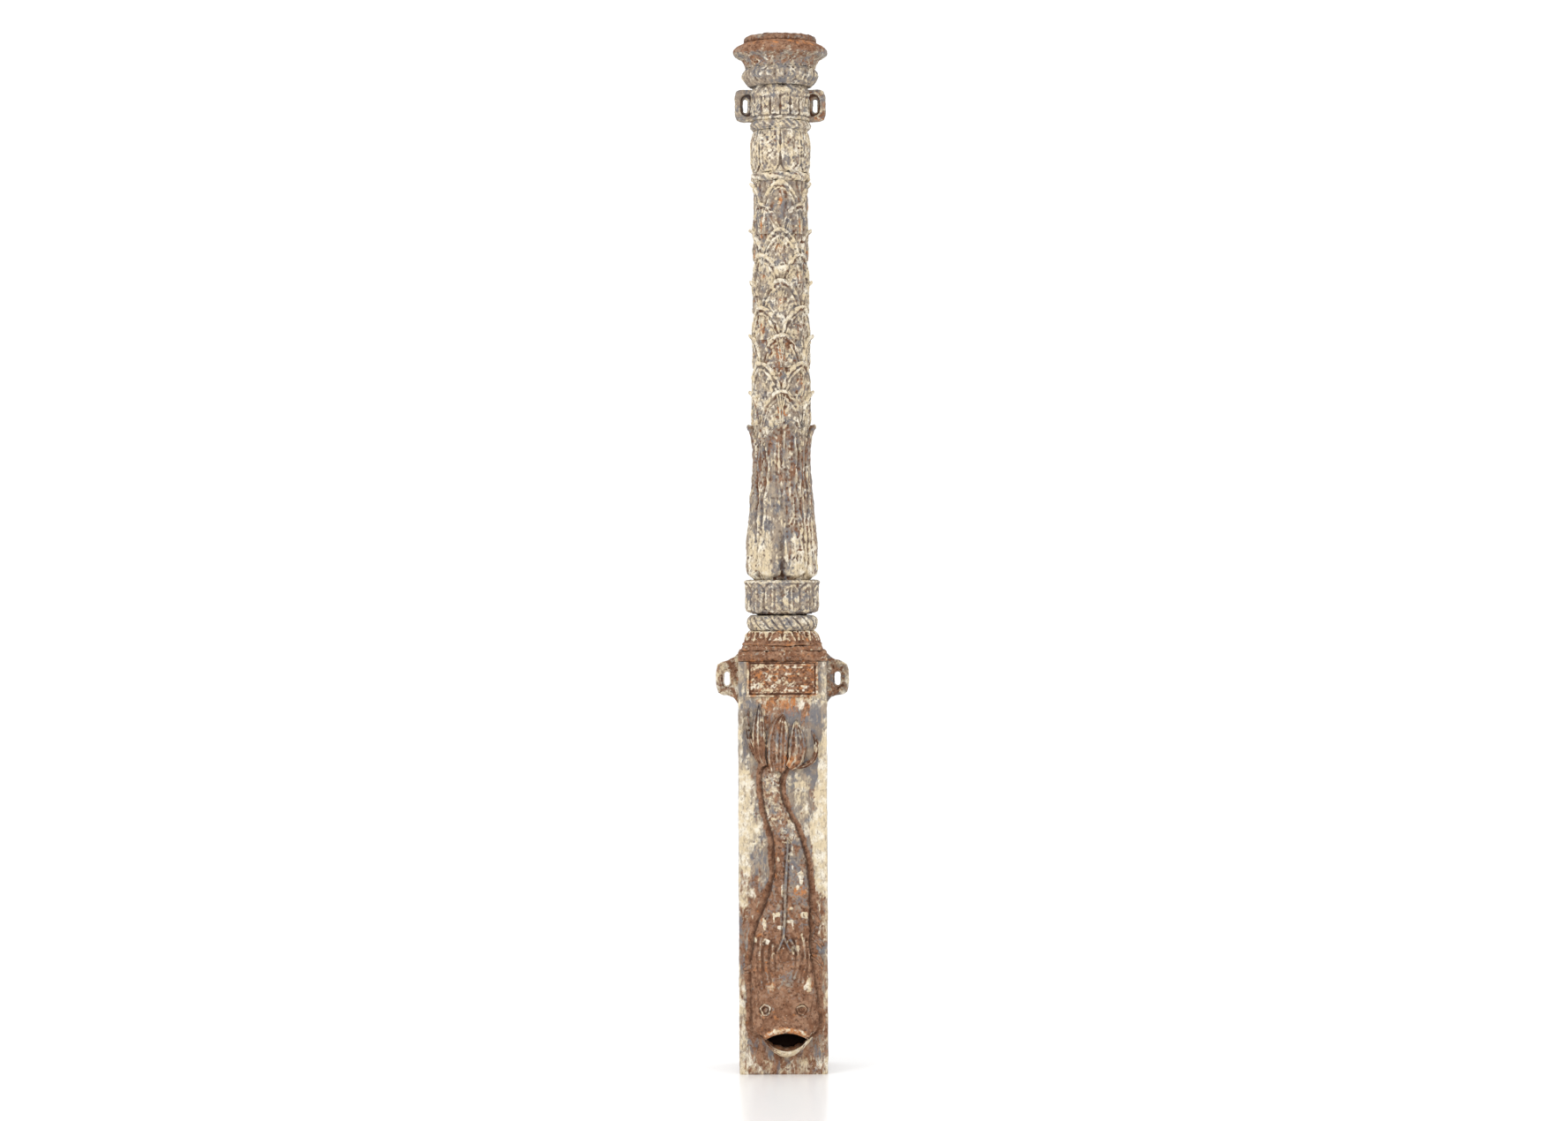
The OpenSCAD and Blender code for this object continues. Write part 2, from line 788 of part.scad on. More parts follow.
module right_fin() {
    color("darkkhaki")
        difference() {
            lobe([[46, 312], [58, 310], [70, 296], [68, 280], [78, 262], [80, 246], [74, 236], [62, 230],
                  [46, 226]], 10);
            body_solid();
            head_solid();
        }
}

socket_ring();
socket_flange();
gadroon_ring();
eared_collar();
upper_left_ear();
upper_right_ear();
bead_ring();
petalled_drum();
leaf_ring();
water_pipe();
palm_tier_1();
palm_tier_2();
palm_tier_3();
palm_tier_4();
palm_tier_5();
palm_tier_6();
palm_tier_7();
palm_tier_8();
palm_tier_9();
long_leaves();
petal_collar();
rope_ring();
base_moulding();
square_ledge();
boot_cap();
boot_shell();
outlet_sill();
nameplate();
fish_tail();
fish_body();
dorsal_ridge();
fish_head();
lower_lip();
left_eye();
right_eye();
left_fin();
right_fin();
lower_left_ear();
lower_right_ear();
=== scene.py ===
"""The looks of a cast-iron rainwater pipe shoe: a palm trunk on a square boot with a fish on its front.

Shapes are worked out in millimetres and turned into metres when their mesh is made. The front is -Y. An
angle round the pipe starts at the front and grows towards +X.
"""
import itertools
import math

import bpy
import numpy as np
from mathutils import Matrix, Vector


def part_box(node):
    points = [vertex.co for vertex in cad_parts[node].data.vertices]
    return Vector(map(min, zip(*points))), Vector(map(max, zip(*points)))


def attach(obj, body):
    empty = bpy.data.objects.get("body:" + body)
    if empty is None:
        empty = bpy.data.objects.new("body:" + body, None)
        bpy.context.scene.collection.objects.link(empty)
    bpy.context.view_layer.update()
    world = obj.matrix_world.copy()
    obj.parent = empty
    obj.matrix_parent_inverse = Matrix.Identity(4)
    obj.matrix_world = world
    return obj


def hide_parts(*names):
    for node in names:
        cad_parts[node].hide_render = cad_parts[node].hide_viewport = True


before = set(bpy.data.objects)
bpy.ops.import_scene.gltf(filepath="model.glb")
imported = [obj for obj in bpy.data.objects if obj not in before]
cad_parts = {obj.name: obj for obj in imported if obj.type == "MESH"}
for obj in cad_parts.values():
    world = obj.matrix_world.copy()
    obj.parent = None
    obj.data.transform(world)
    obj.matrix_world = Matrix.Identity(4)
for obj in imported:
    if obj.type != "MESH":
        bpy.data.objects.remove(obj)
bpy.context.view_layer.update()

MM = 0.001


# ---------------------------------------------------------------- places taken from the frame

def corners(node):
    """Lowest and highest corner of a CAD node, in mm."""
    low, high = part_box(node)
    return np.array(low) / MM, np.array(high) / MM


def heights(node):
    """Height of a CAD node's bottom and of its top, in mm."""
    low, high = corners(node)
    return low[2], high[2]


BOOT_HALF = corners("boot_shell")[1][0]
BOOT_TOP = heights("boot_shell")[1]
FRONT = -BOOT_HALF
BOOT_WALL = 9.0
PIPE_R = corners("water_pipe")[1][0]
TRUNK_FOOT = heights("palm_tier_1")[0]
TRUNK_HEAD = heights("palm_tier_9")[1]
TIERS = 9
LEAVES = 4
MOUTH_X = 5.5
MOUTH_Z = 71.0
MOUTH_HALF = 40.5
MOUTH_UP = 15.0
MOUTH_DOWN = 24.0
NECK_Z = heights("fish_head")[1]
EYE_X = 34.5
EYE_Z = 127.0


# ---------------------------------------------------------------- numbers

def mix(a, b, t):
    return a + (b - a) * t


def smooth(low, high, value):
    """0 below low, 1 above high, and an even curve between them."""
    t = np.clip((value - low) / (high - low), 0, 1)
    return t * t * (3 - 2 * t)


def bump(distance, width):
    return np.exp(-(distance / width) ** 2)


def fold(theta, count, turn=0.0):
    """Angle from the nearest of count evenly spaced places, and which one it is."""
    step = 2 * np.pi / count
    place = (theta - turn) / step + 0.5
    return (place % 1 - 0.5) * step, np.floor(place).astype(int) % count


def follow(rows, value, column=1):
    """One column of a table of rows, read at a value of its first column."""
    table = np.array(sorted(rows), float)
    return np.interp(value, table[:, 0], table[:, column])


def curve_through(rows, value, column=1):
    """Like follow, but with rounded bends."""
    spread = 6.0
    shifts = np.linspace(-spread, spread, 5)
    return sum(follow(rows, value + shift, column) for shift in shifts) / len(shifts)


def hashed(cells, seed):
    """One number from -1 to 1 for every cell of a lattice."""
    x, y, z = (cells[..., axis].astype(np.int64) for axis in range(3))
    mixed = (x * 73856093) ^ (y * 19349663) ^ (z * 83492791) ^ (seed * 48271)
    mixed = ((mixed ^ (mixed >> 13)) * 1274126177) & 0x7FFFFFFF
    return ((mixed ^ (mixed >> 15)) % 65536) / 32768.0 - 1


def noise(points, size, seed):
    """Smooth lumps about size mm apart, from -1 to 1."""
    place = points / size
    cell = np.floor(place)
    part = place - cell
    part = part * part * (3 - 2 * part)
    total = 0
    for corner in itertools.product((0, 1), repeat=3):
        weight = np.prod(np.where(corner, part, 1 - part), axis=-1)
        total = total + weight * hashed(cell + corner, seed)
    return total


def rough(points, size, seed, octaves=3):
    """Lumps of several sizes, each half as wide and a bit over half as tall as the last."""
    return sum(0.55 ** k * noise(points, size / 2 ** k, seed + k) for k in range(octaves))


def distance_to(path, x, z):
    """Distance in the boot's front plane from each point to a line through path."""
    best = np.full(np.broadcast(x, z).shape, 1e9)
    for (ax, az), (bx, bz) in zip(path, path[1:]):
        length = (bx - ax) ** 2 + (bz - az) ** 2
        t = np.clip(((x - ax) * (bx - ax) + (z - az) * (bz - az)) / length, 0, 1)
        best = np.minimum(best, np.hypot(x - mix(ax, bx, t), z - mix(az, bz, t)))
    return best


# ---------------------------------------------------------------- grids and meshes

def quads(n, m, wrap, keep=None):
    """Faces of a grid of n by m points; keep says which cells are there."""
    i = np.arange(n if wrap[0] else n - 1)
    j = np.arange(m if wrap[1] else m - 1)
    a, b = np.meshgrid(i, j, indexing="ij")
    if keep is not None:
        a, b = a[keep], b[keep]
    a, b = a.ravel(), b.ravel()
    c, d = (a + 1) % n, (b + 1) % m
    return np.stack([a * m + b, c * m + b, c * m + d, a * m + d], -1)


def grid_normals(points, wrap, outward):
    """Unit normals of a grid, turned to the side of outward."""
    steps = []
    for axis in range(2):
        if wrap[axis]:
            steps.append(np.roll(points, -1, axis) - np.roll(points, 1, axis))
        else:
            steps.append(np.gradient(points, axis=axis))
    normals = np.cross(*steps)
    normals /= np.linalg.norm(normals, axis=-1, keepdims=True) + 1e-9
    return normals * np.sign((normals * outward).sum(-1).mean())


def proud(points, normals, wrap, reach):
    """How far each point stands out from the points reach cells away; below zero in a hollow."""
    around = 0
    for axis, way in itertools.product((0, 1), (-reach, reach)):
        places = np.arange(points.shape[axis]) + way
        if wrap[axis]:
            places = places % points.shape[axis]
        else:
            places = np.clip(places, 0, points.shape[axis] - 1)
        around = around + np.take(points, places, axis)
    return ((points - around / 4) * normals).sum(-1)


def shell(outer, inner, wrap=(False, False), keep=None):
    """A closed solid between two matching grids."""
    n, m = outer.shape[:2]
    skin = quads(n, m, wrap, keep)
    edges = np.concatenate([skin[:, [k, (k + 1) % 4]] for k in range(4)])
    there = edges[:, 0] * n * m + edges[:, 1]
    back = edges[:, 1] * n * m + edges[:, 0]
    rim = edges[~np.isin(there, back)]
    sides = np.stack([rim[:, 1], rim[:, 0], rim[:, 0] + n * m, rim[:, 1] + n * m], -1)
    points = np.concatenate([outer.reshape(-1, 3), inner.reshape(-1, 3)])
    return points, np.concatenate([skin, skin[:, ::-1] + n * m, sides])


def volume(points, faces):
    a, b, c, d = (points[faces[:, k]] for k in range(4))
    first = (a * np.cross(b, c)).sum(-1)
    second = (a * np.cross(c, d)).sum(-1)
    return (first + second).sum() / 6


class Solid:
    """Points and faces with the coats of paint and rust that each point wears, and the painted shade it is given."""

    def __init__(self):
        self.points, self.faces, self.coats, self.proud = [], [], [], []
        self.count = 0

    def add(self, points, faces, coat, stand):
        if volume(points, faces) < 0:
            faces = faces[:, ::-1]
        used, faces = np.unique(faces, return_inverse=True)
        self.points.append(points[used])
        self.coats.append(coat[used])
        self.proud.append(stand[used])
        self.faces.append(faces.reshape(-1, 4) + self.count)
        self.count += len(used)

    def add_shell(self, outer, inner, coat, wrap=(False, False), keep=None, outward=(0, -1, 0)):
        points, faces = shell(outer, inner, wrap, keep)
        stand = stands(outer, wrap, np.array(outward, float))
        self.add(points, faces, np.tile(coat.reshape(-1, 4), (2, 1)), np.tile(stand.ravel(), 2))

    def piece(self, name, slot, *nodes, look=None):
        """The Blender object, which rides on the casting and stands for the CAD nodes."""
        points, faces = np.concatenate(self.points), np.concatenate(self.faces)
        mesh = bpy.data.meshes.new(name)
        mesh.vertices.add(len(points))
        mesh.vertices.foreach_set("co", (points * MM).astype(np.float32).ravel())
        mesh.loops.add(faces.size)
        mesh.loops.foreach_set("vertex_index", faces.astype(np.int32).ravel())
        mesh.polygons.add(len(faces))
        mesh.polygons.foreach_set("loop_start", np.arange(0, faces.size, 4, dtype=np.int32))
        mesh.update(calc_edges=True)
        mesh.validate()
        mesh.shade_smooth()
        coat = mesh.attributes.new("coat", "FLOAT_COLOR", "POINT")
        coat.data.foreach_set("color", np.concatenate(self.coats).astype(np.float32).ravel())
        stand = mesh.attributes.new("proud", "FLOAT", "POINT")
        stand.data.foreach_set("value", np.concatenate(self.proud).astype(np.float32))
        mesh.materials.append(MATERIALS[look or slot])
        thing = bpy.data.objects.new(name, mesh)
        bpy.context.scene.collection.objects.link(thing)
        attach(thing, "root")
        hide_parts(*nodes)
        return thing


def stands(points, wrap, outward, near=4.0):
    """How proud each point is at a reach of near mm, from -1 to 1."""
    pitch = np.median(np.linalg.norm(np.diff(points[:, :points.shape[1] // 2], axis=0), axis=-1))
    reach = max(1, int(round(near / max(pitch, 0.4))))
    normals = grid_normals(points, wrap, outward)
    return np.clip(proud(points, normals, wrap, reach) / 0.9, -1, 1)


def coat_of(points, cream=0.0, grey=0.0, orange=0.0, shade_and_dirt=0.0):
    """Coats for every point: how much cream paint, grey paint, orange rust, and painted shade with dark dirt to add."""
    shape = points.shape[:-1]
    return np.stack([np.broadcast_to(value, shape) for value in (cream, grey, orange, shade_and_dirt)], -1).astype(float)


def round_pipe(radius, theta, z):
    return np.stack([radius * np.sin(theta), -radius * np.cos(theta), z], -1)


def outwards(points):
    out = points * (1, 1, 0)
    return out / (np.linalg.norm(out, axis=-1, keepdims=True) + 1e-9)


def resampled(outline, pitch, softness):
    """The outline as evenly spaced points with its corners softened."""
    line = np.array(outline, float)
    along = np.concatenate([[0], np.cumsum(np.hypot(*np.diff(line, axis=0).T))])
    at = np.linspace(0, along[-1], max(int(along[-1] / pitch), 3) + 1)
    line = np.stack([np.interp(at, along, line[:, k]) for k in range(2)], -1)
    for _ in range(softness):
        line[1:-1] = (line[:-2] + 2 * line[1:-1] + line[2:]) / 4
    return line


def cast_skin(points, normals, seed, depth=0.45):
    """The uneven skin of old cast iron: lumps under the paint and pits."""
    lumps = rough(points, 10, seed) * depth * 1.5
    pits = smooth(0.35, 0.8, noise(points, 5, seed + 40)) * depth * 1.8
    return points + normals * (lumps - pits)[..., None]


def turned(node, outline, relief, slot, coats, seed, columns=264, pitch=1.3, inner=PIPE_R, softness=2,
           square=None, depth=0.45):
    """A moulding round the pipe, from an outline of [radius, height] rows that runs up its outside."""
    line = resampled(outline, pitch, softness)
    along = np.gradient(line, axis=0)
    along /= np.linalg.norm(along, axis=1, keepdims=True)
    theta = np.linspace(0, 2 * np.pi, columns, endpoint=False)[:, None]
    z = np.broadcast_to(line[:, 1], (columns, len(line)))
    lift = relief(theta, z)
    radius = line[:, 0] + lift * along[:, 1]
    z = z - lift * along[:, 0]
    if square:
        outer = squared(radius, theta, z, square)
    else:
        outer = round_pipe(radius, theta, z)
    normals = grid_normals(outer, (True, False), outwards(outer))
    outer = cast_skin(outer, normals, seed, depth)
    bore_z = np.array([line[-1, 1], mix(line[-1, 1], line[0, 1], 0.5), line[0, 1]])
    bore = round_pipe(np.full((columns, 3), inner), theta, np.broadcast_to(bore_z, (columns, 3)))
    points = np.concatenate([outer, bore], axis=1)
    stand = stands(outer, (True, False), outwards(outer))
    # The bore is marked as a hollow and given full painted shade, so it renders black inside the pipe.
    stand = np.concatenate([stand, np.full((columns, 3), -1.0)], axis=1)
    coat = np.concatenate([coats(outer, theta), coat_of(bore, shade_and_dirt=1)], axis=1)
    solid = Solid()
    solid.add(points.reshape(-1, 3), quads(*points.shape[:2], (True, True)), coat.reshape(-1, 4), stand.ravel())
    return solid.piece(node + "_casting", slot, node)


def squared(half, theta, z, corner):
    """A round-cornered square of half-width half, walked once by theta."""
    side = half - corner
    reach = half / np.maximum(np.abs(np.sin(theta)), np.abs(np.cos(theta)))
    x, y = reach * np.sin(theta), -reach * np.cos(theta)
    over_x, over_y = np.abs(x) - side, np.abs(y) - side
    in_corner = (over_x > 0) & (over_y > 0)
    length = np.where(in_corner, np.hypot(over_x, over_y), 1)
    x = np.where(in_corner, np.sign(x) * (side + over_x / length * corner), x)
    y = np.where(in_corner, np.sign(y) * (side + over_y / length * corner), y)
    return np.stack([x, y, np.broadcast_to(z, x.shape)], -1)


# ---------------------------------------------------------------- materials

def linear(red, green, blue):
    """A colour given as it looks on a screen, from 0 to 255."""
    return [(v / 255 / 12.92 if v <= 10 else ((v / 255 + 0.055) / 1.055) ** 2.4) for v in (red, green, blue)] + [1]


RUST_DEEP = linear(80, 50, 35)
RUST = linear(121, 83, 60)
RUST_PALE = linear(157, 121, 96)
ORANGE = linear(192, 126, 74)
GREY = linear(137, 126, 114)
GREY_BLUE = linear(114, 116, 120)
PALE = linear(172, 157, 137)
CREAM = linear(218, 200, 166)
WHITE = linear(238, 230, 212)
# The dark brown below is painted shade in hollows and creases as well as dirt; the black is painted shade inside holes.
SHADE_AND_DIRT = linear(66, 42, 30)
SHADE_BLACK = linear(16, 9, 6)


class Nodes:
    """Short names for the shader nodes that the iron needs."""

    def __init__(self, name):
        self.material = bpy.data.materials.new(name)
        self.material.use_nodes = True
        self.tree = self.material.node_tree
        self.shader = self.tree.nodes["Principled BSDF"]
        place = self.tree.nodes.new("ShaderNodeTexCoord").outputs["Object"]
        scale = self.tree.nodes.new("ShaderNodeVectorMath")
        scale.operation = "SCALE"
        scale.inputs["Scale"].default_value = 1 / MM
        self.tree.links.new(place, scale.inputs[0])
        self.place = scale.outputs[0]

    def set(self, socket, value):
        if isinstance(value, bpy.types.NodeSocket):
            self.tree.links.new(value, socket)
        else:
            socket.default_value = value

    def moved(self, offset, stretch=(1, 1, 1)):
        node = self.tree.nodes.new("ShaderNodeMapping")
        node.inputs["Location"].default_value = (offset, offset * 0.7, offset * 1.3)
        node.inputs["Scale"].default_value = stretch
        self.set(node.inputs["Vector"], self.place)
        return node.outputs[0]

    def noise(self, size, offset=0.0, detail=4.0, roughness=0.6, stretch=(1, 1, 1), warp=0.0):
        node = self.tree.nodes.new("ShaderNodeTexNoise")
        node.inputs["Scale"].default_value = 1 / size
        node.inputs["Detail"].default_value = detail
        node.inputs["Roughness"].default_value = roughness
        node.inputs["Distortion"].default_value = warp
        self.set(node.inputs["Vector"], self.moved(offset, stretch))
        return node.outputs["Fac"]

    def chips(self, size, offset=0.0):
        """A cell pattern: the shade of each cell, and the distance from its middle."""
        node = self.tree.nodes.new("ShaderNodeTexVoronoi")
        node.inputs["Scale"].default_value = 1 / size
        self.set(node.inputs["Vector"], self.moved(offset))
        shade = self.tree.nodes.new("ShaderNodeSeparateColor")
        self.set(shade.inputs[0], node.outputs["Color"])
        return shade.outputs[0], node.outputs["Distance"]

    def math(self, operation, a, b=0.0, clamp=False):
        node = self.tree.nodes.new("ShaderNodeMath")
        node.operation = operation
        node.use_clamp = clamp
        self.set(node.inputs[0], a)
        self.set(node.inputs[1], b)
        return node.outputs[0]

    def total(self, *terms):
        """Sum of (value, weight) pairs."""
        out = 0.0
        for value, weight in terms:
            node = self.tree.nodes.new("ShaderNodeMath")
            node.operation = "MULTIPLY_ADD"
            self.set(node.inputs[0], value)
            node.inputs[1].default_value = weight
            self.set(node.inputs[2], out)
            out = node.outputs[0]
        return out

    def step(self, value, low, high):
        node = self.tree.nodes.new("ShaderNodeMapRange")
        node.interpolation_type = "SMOOTHSTEP"
        self.set(node.inputs["Value"], value)
        node.inputs["From Min"].default_value = low
        node.inputs["From Max"].default_value = high
        return node.outputs[0]

    def blend(self, amount, below, above):
        node = self.tree.nodes.new("ShaderNodeMix")
        node.data_type = "RGBA"
        self.set(node.inputs["Factor"], amount)
        self.set(node.inputs["A"], below)
        self.set(node.inputs["B"], above)
        return node.outputs["Result"]

    def attribute(self, name):
        node = self.tree.nodes.new("ShaderNodeAttribute")
        node.attribute_name = name
        return node


def cast_iron(name, cream, grey, orange, shade_and_dirt, tone=1.0, run=1.0):
    """Rusted iron under what is left of grey and cream paint, with painted shade in hollows and holes and a faint
    painted highlight on raised points; the numbers say how much of each is there.

    run under 1 draws the paint's patches out into upright streaks.
    """
    n = Nodes(name)
    coat = n.attribute("coat")
    split = n.tree.nodes.new("ShaderNodeSeparateColor")
    n.set(split.inputs[0], coat.outputs["Color"])
    cream_here, grey_here, orange_here = split.outputs
    # The coat's alpha is painted shade for hollows, creases and holes, with some dirt.
    shade_and_dirt_here = coat.outputs["Alpha"]
    stand = n.attribute("proud").outputs["Fac"]
    drawn = (1, 1, run)

    rust = n.blend(n.step(n.noise(16, 3, 8, 0.72), 0.4, 0.6), RUST, RUST_PALE)
    rust = n.blend(n.step(n.noise(7, 11, 8, 0.78), 0.5, 0.64), rust, RUST_DEEP)
    # The small proud terms in hot, worn and flaked make raised points a little paler: a painted highlight on top of the
    # worn paint.
    hot = n.total((n.noise(13, 21, 7, 0.75), 1.0), (orange_here, 0.32), (stand, 0.06))
    rust = n.blend(n.math("MULTIPLY", n.step(hot, 0.6 - orange, 0.74 - orange), 0.8), rust, ORANGE)

    grey_tone = n.blend(n.step(n.noise(26, 31, 5), 0.42, 0.58), GREY, GREY_BLUE)
    grey_tone = n.blend(n.step(n.noise(11, 36, 8, 0.75, drawn), 0.46, 0.62), grey_tone, PALE)
    worn = n.total((n.noise(15, 41, 10, 0.74, drawn, 0.5), 1.0), (grey_here, 0.34), (stand, 0.08))
    grey_mask = n.step(worn, 0.53 - grey, 0.65 - grey)
    base = n.blend(n.math("MULTIPLY", grey_mask, 0.88), rust, grey_tone)

    flaked = n.total((n.noise(13, 51, 8, 0.7, drawn, 0.6), 0.85), (n.noise(30, 61, 3), 0.2),
                     (cream_here, 0.36), (stand, 0.1))
    cream_mask = n.step(flaked, 0.555 - cream, 0.695 - cream)
    shade, distance = n.chips(7.5, 71)
    chip = n.math("MULTIPLY", n.step(n.total((shade, 1.0), (cream_here, 0.2)), 0.95 - cream, 0.99 - cream),
                  n.step(distance, 0.5, 0.25))
    cream_mask = n.math("MAXIMUM", cream_mask, n.math("MULTIPLY", chip, 0.75))
    cream_tone = n.blend(n.step(n.noise(19, 81, 5, 0.7), 0.44, 0.62), CREAM, WHITE)
    cream_tone = n.blend(n.step(n.noise(5, 91, 6, 0.75, drawn), 0.48, 0.64), cream_tone, PALE)
    base = n.blend(n.math("MULTIPLY", cream_mask, 0.94), base, cream_tone)

    # Dark brown in hollows, where proud is low, and where the coat's shade channel is high: painted shade, mixed with
    # dirt in noisy lumps.
    shade_and_grime = n.total((stand, -0.36), (shade_and_dirt_here, 0.9), (n.noise(9, 101, 6, 0.75), 1.0))
    base = n.blend(n.math("MULTIPLY", n.step(shade_and_grime, 0.5 - shade_and_dirt, 1.15 - shade_and_dirt), 0.85), base, SHADE_AND_DIRT)
    specks = n.step(n.noise(3.8, 111, 4, 0.8), 0.56, 0.7)
    base = n.blend(n.math("MULTIPLY", specks, 0.38), base, RUST_DEEP)
    # Black where the coat's shade channel is full, in bores and inside the boot: painted shade.
    base = n.blend(n.step(shade_and_dirt_here, 0.85, 1.0), base, SHADE_BLACK)
    if tone != 1.0:
        base = n.blend(1 - tone, base, SHADE_AND_DIRT)
    n.set(n.shader.inputs["Base Color"], base)

    n.set(n.shader.inputs["Roughness"], n.total((cream_mask, -0.1), (n.noise(4, 121), 0.15), (1.0, 0.8)))
    n.shader.inputs["Specular IOR Level"].default_value = 0.25
    height = n.total((cream_mask, 0.3), (grey_mask, 0.15), (n.noise(2.2, 131, 6, 0.75), 0.35),
                     (n.noise(6, 141, 5, 0.7), 1.0))
    relief = n.tree.nodes.new("ShaderNodeBump")
    relief.inputs["Strength"].default_value = 0.9
    relief.inputs["Distance"].default_value = 0.8 * MM
    n.set(relief.inputs["Height"], height)
    n.set(n.shader.inputs["Normal"], relief.outputs[0])
    return n.material


MATERIALS = {
    "flaked_paint": cast_iron("flaked_paint", cream=0.03, grey=0.17, orange=0.0, shade_and_dirt=0.0),
    "grey_paint": cast_iron("grey_paint", cream=-0.02, grey=0.05, orange=-0.02, shade_and_dirt=0.0, run=0.4),
    "mottled_paint": cast_iron("mottled_paint", cream=-0.02, grey=0.05, orange=0.0, shade_and_dirt=0.0, run=0.9),
    "rusted_iron": cast_iron("rusted_iron", cream=-0.09, grey=-0.06, orange=0.0, shade_and_dirt=0.0),
    "bare_iron": cast_iron("bare_iron", cream=-0.5, grey=-0.3, orange=-0.05, shade_and_dirt=0.3, tone=0.55),
}


def even_coat(**amounts):
    """The same coats all over a piece."""
    return lambda points, theta: coat_of(points, **amounts)


# ---------------------------------------------------------------- head of the pipe

def plain(theta, z):
    return np.zeros(np.broadcast(theta, z).shape)


def socket_ring():
    low, high = corners("socket_ring")
    bore = 57.0
    lip = high[0]
    seat = heights("socket_flange")[1]
    outline = [[bore, low[2]], [bore, high[2] - 5], [bore + 2, high[2] - 1], [lip - 5, high[2]],
               [lip - 1.5, high[2] - 3], [lip, high[2] - 7], [lip - 0.5, seat], [bore + 5, seat]]
    # Darker down the inside of the bore: painted shade.
    turned("socket_ring", outline[::-1], plain, "rusted_iron",
           lambda p, t: coat_of(p, cream=0.16, grey=0.4, orange=0.1, shade_and_dirt=smooth(6, 20, high[2] - p[..., 2]) * 0.9
                                * (np.hypot(p[..., 0], p[..., 1]) < bore + 3)),
           5, inner=bore + 3.9, depth=0.45)


def socket_flange():
    low, high = corners("socket_flange")
    foot, top, rim = low[2], high[2], high[0]
    outline = [[62, foot], [68, foot], [69.5, foot + 7], [72, foot + 13], [76, foot + 18], [83, foot + 22],
               [rim - 1.5, foot + 25], [rim, foot + 28], [rim, foot + 33], [rim - 2, foot + 37],
               [rim - 7, foot + 41], [rim - 14, foot + 45], [70, top], [62, top]]

    def relief(theta, z):
        sag = 0.8 * np.sin(9 * theta + 2 * np.sin(2 * theta)) * bump(z - foot - 12, 9)
        worn = 0.7 * np.sin(5 * theta + 1) * bump(z - foot - 33, 5)
        return sag + worn

    def coats(points, theta):
        z = points[..., 2]
        below = smooth(foot + 29, foot + 22, z)
        ends = smooth(0.7, 0.98, np.abs(np.sin(theta))) * bump(z - foot - 27, 8)
        return coat_of(points, cream=0.3 * below + 0.12 * ends, grey=0.5 * below + 0.5 * ends,
                       orange=0.35 * smooth(foot + 34, foot + 40, z) + 0.2 * bump(z - foot - 16, 6))

    turned("socket_flange", outline, relief, "rusted_iron", coats, 15, inner=61, depth=0.7)


def gadroon_ring():
    foot, top = heights("gadroon_ring")
    eggs = 20
    outline = [[PIPE_R + 4, foot], [60, foot], [63, foot + 3], [69, foot + 9], [72.5, foot + 16],
               [73, foot + 22], [71.5, foot + 28], [69, foot + 32], [68, top], [PIPE_R + 6, top]]

    def relief(theta, z):
        place, which = fold(theta + 0.04 * np.sin(3 * theta), eggs)
        across = np.abs(place) * eggs / np.pi
        size = 1 + 0.45 * hashed(np.stack([which, which, which], -1), 7)
        body = np.sqrt(np.clip(1 - across ** 2.2, 0, 1))
        window = smooth(foot + 2, foot + 9, z) * smooth(top - 2, top - 10, z)
        groove = 3.2 * (body - 0.75) * window * size
        return groove + 1.6 * bump(across - 0.35 * size, 0.25) * bump(z - foot - 20, 6)

    turned("gadroon_ring", outline, relief, "flaked_paint", even_coat(cream=-0.1, grey=0.3, orange=0.15), 25,
           columns=320, depth=0.8)


def eared_collar():
    foot, top = heights("eared_collar")
    tongues = 18
    outline = [[PIPE_R + 4, foot], [57, foot], [58, foot + 3], [57.5, foot + 5], [53.5, foot + 7],
               [56, foot + 11], [56.5, foot + 22], [56, foot + 40], [56, foot + 43], [57, foot + 46],
               [57.5, foot + 55], [56, foot + 60], [53, foot + 63], [52, top], [PIPE_R + 3, top]]

    def relief(theta, z):
        place, _ = fold(theta, tongues, np.pi / tongues)
        across = np.abs(place) * tongues / np.pi
        band = smooth(foot + 7, foot + 11, z) * smooth(foot + 46, foot + 40, z)
        tongue = 1.8 * smooth(1.0, 0.65, across) - 1.5 * bump(across - 1, 0.22)
        cup = 1.6 * bump(z - foot - 10 - 3 * across ** 2, 2.6) * smooth(1.05, 0.8, across)
        swag = 1.5 * bump(z - foot - 50 - 3 * np.sin(4 * theta + 1), 4) * (1 + np.sin(7 * theta))
        return tongue * band + cup + swag

    turned("eared_collar", outline, relief, "flaked_paint", even_coat(cream=0.05, grey=0.2), 35,
           columns=320, depth=0.9)


def bead_ring():
    foot, top = heights("bead_ring")
    middle = (foot + top) / 2
    outline = [[PIPE_R + 3, foot], [53, foot], [54.5, foot + 2], [57.5, foot + 4.5], [59, middle],
               [58, top - 5], [56, top - 2], [54, top], [PIPE_R + 3, top]]

    def relief(theta, z):
        return 0.9 * np.sin(26 * theta + (z - middle) * 0.4) * bump(z - middle, 5)

    turned("bead_ring", outline, relief, "flaked_paint", even_coat(cream=0.0, grey=0.25), 45, depth=0.9)


